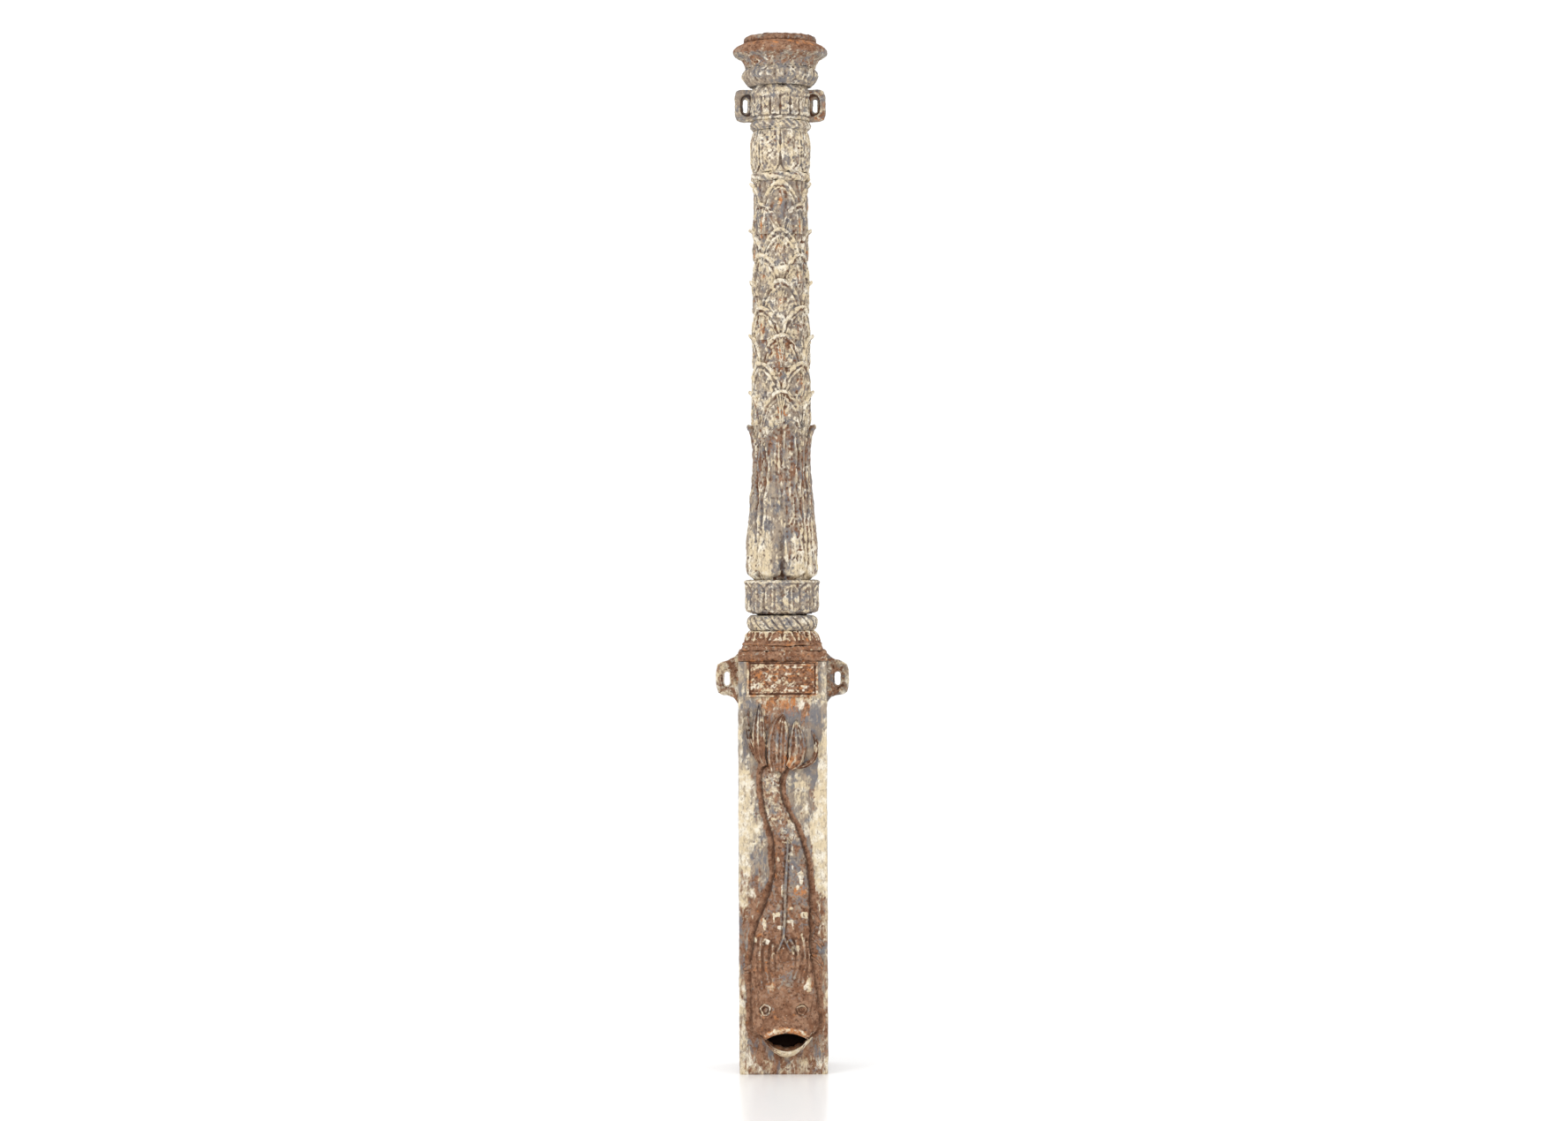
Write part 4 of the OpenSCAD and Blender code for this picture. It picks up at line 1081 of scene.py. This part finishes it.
def fish_head():
    """The head from the neck down to the upper lip, which rolls back into the mouth."""
    across = (1 - np.cos(np.pi * np.linspace(0, 1, 120)))[None, :] / 2
    lip_x = mix(MOUTH_X - MOUTH_HALF - 4, MOUTH_X + MOUTH_HALF + 4, across)
    lip_z = MOUTH_Z + mouth_arc(lip_x, MOUTH_UP)
    down = np.linspace(0, 1, 110)[:, None] ** 0.9
    z = mix(NECK_Z + 1, lip_z, down)
    left, right = fish_edges(z)
    x = mix(mix(left, right, across), lip_x, smooth(0.86, 1.0, down))
    out = fish_height(x, z)
    edge = (z - lip_z)
    middle = smooth(0.04, 0.25, across * (1 - across) * 4)
    out = out + middle * (2.6 * bump(edge - 5, 4) - 1.2 * bump(edge - 14, 4))
    for side in (-1, 1):
        away = np.hypot(x - side * EYE_X, z - EYE_Z)
        out = out - 4.0 * smooth(13, 8, away) + 1.2 * bump(away - 14, 3.0)
    outer = np.stack([x, FRONT - out, z], -1)
    roll = []
    front = outer[-1]
    back_y = FRONT + BOOT_WALL
    for t, rise in ((0.04, -1.6), (0.1, -1.9), (0.2, -1.2), (0.4, 0), (0.7, 0.5), (1.0, 0.8)):
        roll.append(front * (1, 0, 1) + np.stack([0 * front[:, 0], mix(front[:, 1], back_y, t),
                                                  np.full(len(front), rise)], -1))
    normals = grid_normals(outer, (False, False), np.array([0, -1.0, 0]))
    outer = cast_skin(outer, normals, 261, 0.6)
    roll = np.array(roll)
    inner = np.stack([x, np.full_like(x, FRONT + 2.5), z], -1)
    tuck = np.repeat(inner[-1:], len(roll), 0)
    tuck[..., 1] = np.maximum(roll[..., 1] + 3, FRONT + 2.5)
    tuck[..., 2] = roll[..., 2] + np.linspace(2, 5, len(roll))[:, None]

    def coats(points):
        px, pz = points[..., 0], points[..., 2]
        # Cream and orange along the upper lip: partly rust, partly a painted highlight on its ridge.
        lip = bump(pz - MOUTH_Z - mouth_arc(px, MOUTH_UP) - 6, 6)
        edge_away = np.minimum(px - fish_edges(pz)[0], fish_edges(pz)[1] - px)
        # Darker at the head's edges and inside the mouth: painted shade.
        inside = smooth(FRONT - 30, FRONT - 10, points[..., 1]) * (pz < MOUTH_Z + 14)
        glow = 0.8 * bump(np.hypot(px + 25, pz - 170), 10) + 1.1 * bump(np.hypot(px - 47, (pz - 172) * 0.55), 8)
        return coat_of(points, cream=0.4 * lip + 0.9 * glow - 0.06, orange=0.6 * lip + 0.05 + 0.7 * glow,
                       grey=0.5 * bump(np.hypot(px - 5, pz - 205), 30) + 0.25 * bump(pz - 160, 25) - 0.1,
                       shade_and_dirt=0.35 * smooth(4, 1, edge_away) + 0.9 * inside)

    whole = np.concatenate([outer, roll])
    solid = Solid()
    solid.add_shell(whole, np.concatenate([inner, tuck]), coats(whole))
    solid.piece("fish_head_casting", "rusted_iron", "fish_head")


def lower_lip():
    """The lower lip: a rounded band under the mouth that rolls back into it."""
    along = np.linspace(0, 1, 150)[:, None]
    x_in = mix(MOUTH_X - MOUTH_HALF - 1, MOUTH_X + MOUTH_HALF + 1, along)
    z_in = MOUTH_Z - mouth_arc(x_in, MOUTH_DOWN)
    x_out = mix(MOUTH_X - 50, MOUTH_X + 50, along)
    z_out = MOUTH_Z + 1 - 39 * (1 - np.abs(2 * along - 1) ** 1.7) ** 0.9
    v = np.linspace(0, 1, 26)[None, :]
    x, z = mix(x_out, x_in, v), mix(z_out, z_in, v)
    tall = 8 + 20 * np.sin(np.pi * along) ** 0.7
    ripple = 1.3 * np.sin(v * 14) * smooth(0.55, 0.3, along)
    lumps = 5.0 * np.clip(noise(np.stack([x, 0 * x, z], -1), 8, 31) + 0.4, 0, 1) * smooth(0.25, 0.4, along)
    lumps = lumps * smooth(0.3, 0.6, v)
    out = tall * np.sin(v * np.pi / 2) ** 0.5 + ripple * smooth(0, 0.2, v) + lumps
    outer = np.stack([x, FRONT - out, z], -1)
    outer = cast_skin(outer, grid_normals(outer, (False, False), np.array([0, -1.0, 0])), 271, 0.6)
    front = outer[:, -1]
    steps = ((0.06, 1.2), (0.15, 1.4), (0.3, 2.0), (0.5, 4.5), (0.75, 7.0), (1.0, 8.0))
    middle = np.sin(np.pi * along[:, 0]) * (1 + 0.5 * noise(front, 9, 33))
    roll = np.stack([front * (1, 0, 1) + np.stack([0 * front[:, 0], mix(front[:, 1], FRONT + BOOT_WALL, t),
                                                   rise * middle], -1) for t, rise in steps], 1)
    whole = np.concatenate([outer, roll], 1)
    inner = whole + (0, 3, 0)
    inner[..., 1] = np.where(np.arange(whole.shape[1]) < 26, FRONT + 2.5, np.maximum(whole[..., 1], FRONT + 2.5))
    inner[:, 26:, 2] = whole[:, 26:, 2] - 4

    def coats(points):
        px = points[..., 0]
        right = smooth(-24, -10, px)
        rolled = np.arange(points.shape[1])
        # Darker where the lip rolls back into the mouth: painted shade.
        inside = smooth(FRONT, FRONT + 8, points[..., 1]) * (rolled > 28)
        throat = (rolled > 26) * 1.0
        return coat_of(points, cream=0.05 + 0.65 * right - 0.55 * throat, grey=0.3 * (1 - right),
                       orange=0.1 + 0.25 * throat, shade_and_dirt=0.15 * throat + 0.6 * inside)

    solid = Solid()
    solid.add_shell(whole, inner, coats(whole))
    solid.piece("lower_lip_casting", "rusted_iron", "lower_lip")


def eye(side):
    """A ball in a ring, set in its hollow in the head."""
    node = "left_eye" if side < 0 else "right_eye"
    profile = np.array([[0.02, 6.4], [2, 6.0], [3.8, 4.9], [5, 2.8], [5.8, 1.9], [6.8, 2.6], [8, 5], [9.2, 6.2],
                        [10.4, 5.6], [11.4, 3.4], [12, 0], [11.8, -9], [6, -9.5], [0.02, -9.5]])
    line = resampled(profile, 0.8, 2) * (0.86, 0.8)
    turn = np.linspace(0, 2 * np.pi, 72, endpoint=False)[:, None]
    radius = line[:, 0] * (1 + 0.07 * np.sin(3 * turn) + 0.06 * np.sin(5 * turn + side))
    tall = 1.18 if side < 0 else 1.0
    x = side * EYE_X + radius * np.cos(turn)
    z = EYE_Z + radius * np.sin(turn) * tall
    seat = fish_height(np.array(side * EYE_X), np.array(EYE_Z)) - 4.5
    lean = 0.32 * (x - side * EYE_X) * side
    y = FRONT - seat - line[:, 1] + lean
    outer = np.stack([x, y, z], -1)
    outer = cast_skin(outer, grid_normals(outer, (True, False), np.array([0, -1.0, 0])), 281 + side, 0.35)
    solid = Solid()
    ring = bump(np.broadcast_to(line[:, 0], x.shape) - 9, 2.5)
    # Darker in the groove round the ball and on the skirt behind the ring: painted shade.
    coat = coat_of(outer, cream=0.55 * ring - 0.05, grey=0.4 * (side < 0), orange=0.05,
                   shade_and_dirt=0.6 * bump(line[:, 0] - 5, 1.2) + 0.5 * smooth(9.4, 10.2, line[:, 0]))
    stand = stands(outer, (True, False), np.array([0, -1.0, 0]), 2.5) * 0.5
    solid.add(outer.reshape(-1, 3), quads(*outer.shape[:2], (True, True)), coat.reshape(-1, 4), stand.ravel())
    solid.piece(node + "_casting", "rusted_iron", node)


def nameplate():
    low, high = corners("nameplate")
    x, z = np.meshgrid(np.linspace(low[0], high[0], 140), np.linspace(low[2] + 0.4, high[2], 76), indexing="ij")
    edge = np.minimum(np.minimum(x - low[0], high[0] - x), np.minimum(z - low[2], high[2] + 3 - z))
    flat = np.stack([x, 0 * x, z], -1)
    crust = 1.5 * rough(flat, 8, 41) + 1.3 * np.clip(noise(flat, 5, 47), 0, 1)
    frame_line = 2.2 * bump(edge - 3, 1.6) + 1.3 * bump(edge - 8.5, 1.3) - 1.0 * bump(edge - 6, 1)
    out = 3.2 * smooth(-0.5, 1.0, edge) + frame_line + crust * smooth(8, 12, edge)

    def coats(points):
        specks = noise(flat * (0.4, 1, 1.5), 6, 55) + 0.5 * noise(flat, 24, 56)
        # Darker in the groove between the frame lines: painted shade.
        return coat_of(points, cream=0.42 * specks * smooth(7, 12, edge) + 0.26, orange=0.3 - 0.2 * specks,
                       shade_and_dirt=0.3 * bump(edge - 6, 1.5))

    solid = Solid()
    front_shell(solid, x, z, out, coats, 291, depth=0.6)
    solid.piece("nameplate_casting", "rusted_iron", "nameplate")


def boot_coats(points, theta=None):
    """Paint left on the boot: white down its left edge, cream down its right one, rust along the fish."""
    x, y, z = points[..., 0], points[..., 1], points[..., 2]
    front = (y < FRONT + 3).astype(float)
    left, right = fish_edges(z)
    from_left, from_right = left - x, x - right
    on_fish = smooth(604, 592, z) * smooth(66, 80, z) * front
    near = np.where(x < (left + right) / 2, from_left, from_right) + 2.5 * noise(points, 18, 93)
    bare = smooth(12, 6, near) * on_fish
    ragged = noise(points * (1, 1, 0.35), 16, 95)
    white = smooth(-52, -72, x + 7 * ragged) * smooth(290, 345, z + 20 * ragged) * smooth(620, 540, z)
    patchy = 0.75 + 0.6 * noise(points * (1, 1, 0.5), 24, 97)
    white = white * (patchy + 0.3) + 0.9 * smooth(-30, -50, x) * bump(z - 470, 60) * patchy
    white = white + 0.6 * smooth(-66, -78, x) * smooth(590, 640, z) * smooth(735, 700, z)
    reach = mix(72, 57, smooth(650, 450, z))
    yellow = smooth(reach - 4, reach + 5, x + 6 * ragged) * smooth(330, 365, z + 15 * ragged) * \
        smooth(700, 640, z)
    strips = (0.5 * smooth(70, 76, x) + 0.15 * smooth(-70, -76, x)) * smooth(700, 720, z)
    speckled = 0.4 * noise(points * (1, 1, 0.6), 9, 99) * smooth(10, 30, from_right) * smooth(350, 400, z)
    bottom = smooth(55, 20, z) + 1.0 * smooth(60, 74, np.abs(x)) * smooth(230, 120, z)
    upper = smooth(560, 640, z) * smooth(800, 720, z)
    sides = 1 - front
    old = noise(points * (1, 1, 0.5), 60, 91)
    streak = bump(np.hypot(x - 12, (z - 717) * 1.5), 16) + 0.8 * bump(np.hypot(x - 16, z - 598), 26)
    under_plate = bump(z - 712, 16) * smooth(66, 45, np.abs(x)) * front
    cream = (0.42 * white + 0.66 * yellow) * (front + sides * (0.35 + 0.6 * old)) + 0.22 * bottom * front
    cream = cream + 0.18 * smooth(10, 30, from_right) * smooth(400, 440, z) * smooth(610, 570, z) * front
    cream = cream + 0.2 * smooth(55, 66, x) * bump(z - 280, 60) * front + 0.16 * smooth(-58, -66, x) * bump(z - 130, 80) * front
    cream = cream + 0.45 * strips * front + 0.3 * sides * old
    cream = cream + (0.25 + 0.3 * ragged) * under_plate + 0.04 * smooth(600, 680, z) * front
    cream = cream + (speckled + 0.16 * smooth(400, 440, z) * smooth(600, 560, z)) * front
    brown = smooth(330, 250, z) * smooth(20, 60, z)
    grey = 0.3 * upper + 0.4 * smooth(330, 420, z) + 0.1 * brown + 0.1 * sides - 0.05
    rusty = 0.5 * smooth(600, 700, z) * smooth(64, 40, np.abs(x - 5)) * front + 0.3 * under_plate
    # Darker just beside the fish's edge: painted shade in the crease.
    return coat_of(points, cream=mix(cream - 0.14 * brown * (np.abs(x) < 64) * front, -0.5, bare),
                   grey=grey - 0.7 * bare - rusty, orange=0.15 * bump(near - 9, 5) * on_fish
                   + 0.6 * streak * front + 0.7 * rusty, shade_and_dirt=0.42 * bump(near - 1, 3.5) * on_fish)


def boot_shell():
    """The square boot: outer and inner wall with the mouth cut through the front."""
    low, high = corners("boot_shell")
    half, corner = high[0], 4.0
    straight = np.linspace(-half + corner, half - corner, 76)
    coarse = np.linspace(-half + corner, half - corner, 40)
    bend = np.linspace(0, np.pi / 2, 5)[1:-1]
    walk = []
    for side, places in enumerate((straight, coarse, coarse, coarse)):
        turn = np.array([[math.cos(side * math.pi / 2), math.sin(side * math.pi / 2)],
                         [-math.sin(side * math.pi / 2), math.cos(side * math.pi / 2)]])
        face = np.stack([places, np.full_like(places, -half)], -1)
        arc = np.stack([half - corner + corner * np.sin(bend), -half + corner - corner * np.cos(bend)], -1)
        walk.append(np.concatenate([face, arc]) @ turn)
    walk = np.concatenate(walk)
    z = np.linspace(low[2], high[2], 232)
    outer = np.stack([np.repeat(walk[:, None, k], len(z), 1) for k in range(2)]
                     + [np.broadcast_to(z, (len(walk), len(z)))], -1)
    wrap = (True, False)
    normals = grid_normals(outer, wrap, outwards(outer))
    groove = 1.0 * bump(np.abs(outer[..., 0]) - 73, 1.6) * (outer[..., 1] < -half + 1) * (outer[..., 2] < 720)
    waves = 0.5 * noise(outer, 45, 301)
    inner_half = half - BOOT_WALL
    inner = outer.copy()
    inner[..., :2] = np.clip(outer[..., :2], -inner_half, inner_half)
    outer = cast_skin(outer + normals * (waves - groove)[..., None], normals, 302, 0.4)
    outer[:, 0, 2], outer[:, -1, 2] = low[2], high[2]
    mid_x = (outer[..., 0] + np.roll(outer[..., 0], -1, 0))[:, :-1] / 2
    mid_z = (outer[:, 1:, 2] + outer[:, :-1, 2]) / 2
    keep = ~(in_mouth(mid_x, mid_z, 3.0) & (outer[:, :-1, 1] < -half + 3))
    solid = Solid()
    points, faces = shell(outer, inner, wrap, keep)
    coat = boot_coats(outer)
    stand = stands(outer, wrap, outwards(outer))
    # The inner wall is given full painted shade and marked as a hollow, so it renders black.
    shade_and_dirt = coat_of(inner, cream=-0.5, shade_and_dirt=1.0)
    solid.add(points, faces, np.concatenate([coat.reshape(-1, 4), shade_and_dirt.reshape(-1, 4)]),
              np.concatenate([stand.ravel(), stand.ravel() - 1]))
    solid.piece("boot_shell_casting", "grey_paint", "boot_shell")
    boot_floor(inner_half, low[2], low[2] + 12)


def boot_floor(half, foot, top):
    """The boot's bottom with its two round core holes."""
    hole_x, hole_r = half / 2, 20.0
    around = np.linspace(0, 2 * np.pi, 97)[:-1][:, None]
    solid = Solid()
    for side in (-1, 1):
        centre = side * hole_x
        reach_x = half / 2
        edge = 1 / np.maximum(np.abs(np.cos(around)) / (reach_x + 0.3), np.abs(np.sin(around)) / (half + 0.3))
        radius = mix(hole_r, edge, np.linspace(0, 1, 14)[None, :])
        x, y = centre + radius * np.cos(around), radius * np.sin(around)
        upper = np.stack([x, y, np.full_like(x, top)], -1)
        lower = np.stack([x, y, np.full_like(x, foot)], -1)
        # The floor inside the boot gets painted shade.
        coat = coat_of(upper, shade_and_dirt=0.5)
        solid.add_shell(upper, lower, coat, (True, False), outward=(0, 0, 1))
    solid.piece("boot_floor_casting", "rusted_iron", "boot_shell")


# ---------------------------------------------------------------- ears

def polar(outline, centre, angles, softness=0):
    """Distance from centre to an outline of [x, z] points, at each angle."""
    outline = np.array(outline, float)
    closed = np.concatenate([outline, outline[:1]])
    along = np.concatenate([[0], np.cumsum(np.hypot(*np.diff(closed, axis=0).T))])
    at = np.linspace(0, along[-1], 721)[:-1]
    line = np.stack([np.interp(at, along, closed[:, k]) for k in range(2)], -1)
    for _ in range(softness):
        line = (np.roll(line, 1, 0) + 2 * line + np.roll(line, -1, 0)) / 4
    line = line - centre
    angle = np.arctan2(line[:, 1], line[:, 0])
    order = np.argsort(angle)
    return np.interp(angles, angle[order], np.hypot(*line[order].T), period=2 * np.pi)


def slot_outline(wide, tall):
    """A strip with round ends about the origin."""
    turn = np.linspace(0, np.pi, 25)
    rise = (tall - wide) / 2
    upper = np.stack([np.cos(turn) * wide / 2, rise + np.sin(turn) * wide / 2], -1)
    return np.concatenate([upper, -upper])


def ear(node, side, outline, slot_at, slot_size, front_y, back_y, dish, seed, coats):
    """A lug with a slot through it; dish is the [width, height, depth, shift] of the hollow round the slot."""
    angles = np.linspace(-np.pi, np.pi, 180, endpoint=False)[:, None]
    slot_r = polar(slot_outline(*slot_size), (0, 0), angles)
    hollow_r = polar(slot_outline(dish[0], dish[1]) + (dish[3], 0), (0, 0), angles)
    outer_r = polar(outline, slot_at, angles, 14)
    hollow_r = np.minimum(hollow_r, outer_r - 5)
    hollow_r = np.maximum(hollow_r, slot_r + 0.8)
    floor_y = front_y + dish[2]
    rows = [(slot_r, back_y - 1), (slot_r, mix(floor_y, back_y, 0.5)), (slot_r, floor_y + 1.2),
            (slot_r + 0.5, floor_y), (mix(slot_r, hollow_r, 0.5), floor_y - 0.4), (hollow_r - 0.6, floor_y - 1),
            (hollow_r, mix(floor_y, front_y, 0.4)), (hollow_r + 0.8, front_y + 1), (hollow_r + 2, front_y)]
    rows += [(mix(hollow_r + 2, outer_r - 3, t), front_y - 0.8 * math.sin(math.pi * t))
             for t in (0.2, 0.4, 0.6, 0.8)]
    rows += [(outer_r - 3, front_y), (outer_r - 1, front_y + 1), (outer_r, front_y + 3)]
    rows += [(outer_r, mix(front_y + 3, back_y - 2, t)) for t in (0.33, 0.66)]
    rows += [(outer_r, back_y - 2), (outer_r - 1.5, back_y), (mix(slot_r, outer_r, 0.5), back_y),
             (slot_r + 1, back_y)]
    radius = np.concatenate([r for r, _ in rows], 1)
    y = np.broadcast_to([y for _, y in rows], radius.shape)
    x = side * (slot_at[0] + radius * np.cos(angles))
    z = slot_at[1] + radius * np.sin(angles)
    outer = np.stack([x, y, z], -1)
    fine = np.concatenate([np.linspace(k, k + 1, 3)[:-1] for k in range(len(rows) - 1)] + [[len(rows) - 1]])
    outer = np.stack([[np.interp(fine, np.arange(len(rows)), row[:, k]) for row in outer] for k in range(3)], -1)
    rise = grid_normals(outer, (True, True), np.array([0, -1.0, 0]))
    out = outer - np.array([side * slot_at[0], (front_y + back_y) / 2, slot_at[1]])
    rise = rise * np.sign((rise * out)[:, 30:].sum(-1).mean())
    outer = cast_skin(outer, rise, seed, 0.6)
    stand = stands(outer, (True, True), np.array([0, -1.0, 0]), 3)
    solid = Solid()
    solid.add(outer.reshape(-1, 3), quads(*outer.shape[:2], (True, True)), coats(outer).reshape(-1, 4), stand.ravel())
    solid.piece(node + "_casting", "rusted_iron", node)


def lower_ears():
    low, high = corners("lower_right_ear")
    foot, top, root, tip = low[2], high[2], low[0], high[0]
    outline = [(root - 3, foot + 8), (root, foot - 1), (root + 4, foot + 6), (root + 11, foot + 15), (root + 19, foot + 18),
               (root + 33, foot + 19), (root + 41, foot + 24), (tip, foot + 36), (tip, top - 34),
               (root + 42, top - 22), (root + 34, top - 17), (root + 20, top - 13), (root + 10, top - 8),
               (root + 3, top), (root - 3, top + 1)]
    for side, node in ((-1, "lower_left_ear"), (1, "lower_right_ear")):
        wear = 0.24 if side < 0 else 0.11
        coats = lambda p, side=side, wear=wear: coat_of(p, cream=0.12 * smooth(20, 36, np.abs(p[..., 0]) - root) + wear,
                                             grey=0.3 * (side > 0), orange=0.05)
        ear(node, side, outline, (108.5, 754.0), (11, 27), low[1], high[1], (17, 34, 1.5, 0), 310 + side, coats)


def upper_ears():
    low, high = corners("upper_right_ear")
    foot, top, tip = low[2], high[2], high[0]
    root, bend = 44.0, 7.0
    outline = [(root, foot), (tip - bend * 1.6, foot), (tip - bend * 0.4, foot + bend * 0.5), (tip, foot + bend * 1.8),
               (tip, top - bend * 1.8), (tip - bend * 0.4, top - bend * 0.5), (tip - bend * 1.6, top), (root, top)]
    for side, node in ((-1, "upper_left_ear"), (1, "upper_right_ear")):
        # Darker towards the back of each ear, over its recess and slot: painted shade.
        coats = lambda p, side=side: coat_of(p, cream=0.08, orange=-0.2 + 0.5 * bump(p[..., 2] - foot, 9),
                                             grey=0.4 + 0.3 * (side < 0), shade_and_dirt=0.2 * smooth(-9, -5, p[..., 1]))
        ear(node, side, outline, (68.0, (foot + top) / 2), (9, 26), low[1], high[1], (25, 42, 10, -4), 320 + side,
            coats)


# ---------------------------------------------------------------- stage

def stage_and_light():
    floor_mesh = bpy.data.meshes.new("floor")
    reach = 30.0
    floor_mesh.from_pydata([(-reach, -reach, 0), (reach, -reach, 0), (reach, reach, 0), (-reach, reach, 0)], [],
                           [(0, 1, 2, 3)])
    floor = bpy.data.objects.new("floor", floor_mesh)
    bpy.context.scene.collection.objects.link(floor)
    white = bpy.data.materials.new("pale_floor")
    white.use_nodes = True
    shader = white.node_tree.nodes["Principled BSDF"]
    shader.inputs["Base Color"].default_value = (0.95, 0.95, 0.95, 1)
    shader.inputs["Roughness"].default_value = 0.25
    floor_mesh.materials.append(white)

    world = bpy.data.worlds.new("studio")
    world.use_nodes = True
    world.node_tree.nodes["Background"].inputs["Color"].default_value = (1, 1, 1, 1)
    world.node_tree.nodes["Background"].inputs["Strength"].default_value = 1.1
    bpy.context.scene.world = world
    for name, place, size, power in (("key", (-2.6, -3.2, 3.4), 1.8, 60), ("fill", (3.0, -3.0, 2.2), 2.2, 22)):
        lamp = bpy.data.lights.new(name, "AREA")
        lamp.size = size
        lamp.energy = power
        thing = bpy.data.objects.new(name, lamp)
        thing.location = place
        aim = np.array([0, 0, 1.0]) - np.array(place)
        thing.rotation_euler = (math.atan2(math.hypot(aim[0], aim[1]), -aim[2]), 0, math.atan2(-aim[0], aim[1]))
        bpy.context.scene.collection.objects.link(thing)
    bpy.context.scene.view_settings.view_transform = "Standard"


def camera():
    data = bpy.data.cameras.new("camera")
    data.lens = 82.82
    data.sensor_width = 36
    thing = bpy.data.objects.new("camera", data)
    thing.location = (0.004, -7.0, 0.985)
    thing.rotation_euler = (math.pi / 2, math.radians(0.22), 0)
    bpy.context.scene.collection.objects.link(thing)
    bpy.context.scene.camera = thing


def build():
    socket_ring()
    socket_flange()
    gadroon_ring()
    eared_collar()
    upper_ears()
    bead_ring()
    petalled_drum()
    leaf_ring()
    for tier in range(1, TIERS + 1):
        palm_tier(tier)
    long_leaves()
    petal_collar()
    rope_ring()
    base_moulding()
    square_ledge()
    boot_cap()
    boot_shell()
    nameplate()
    fish_tail()
    fish_body()
    dorsal_ridge()
    fish_head()
    lower_lip()
    for side in (-1, 1):
        eye(side)
    fins()
    lower_ears()
    for node in ("water_pipe", "outlet_sill"):
        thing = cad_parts[node]
        thing.data.materials.clear()
        thing.data.materials.append(MATERIALS["bare_iron"])


build()
stage_and_light()
camera()
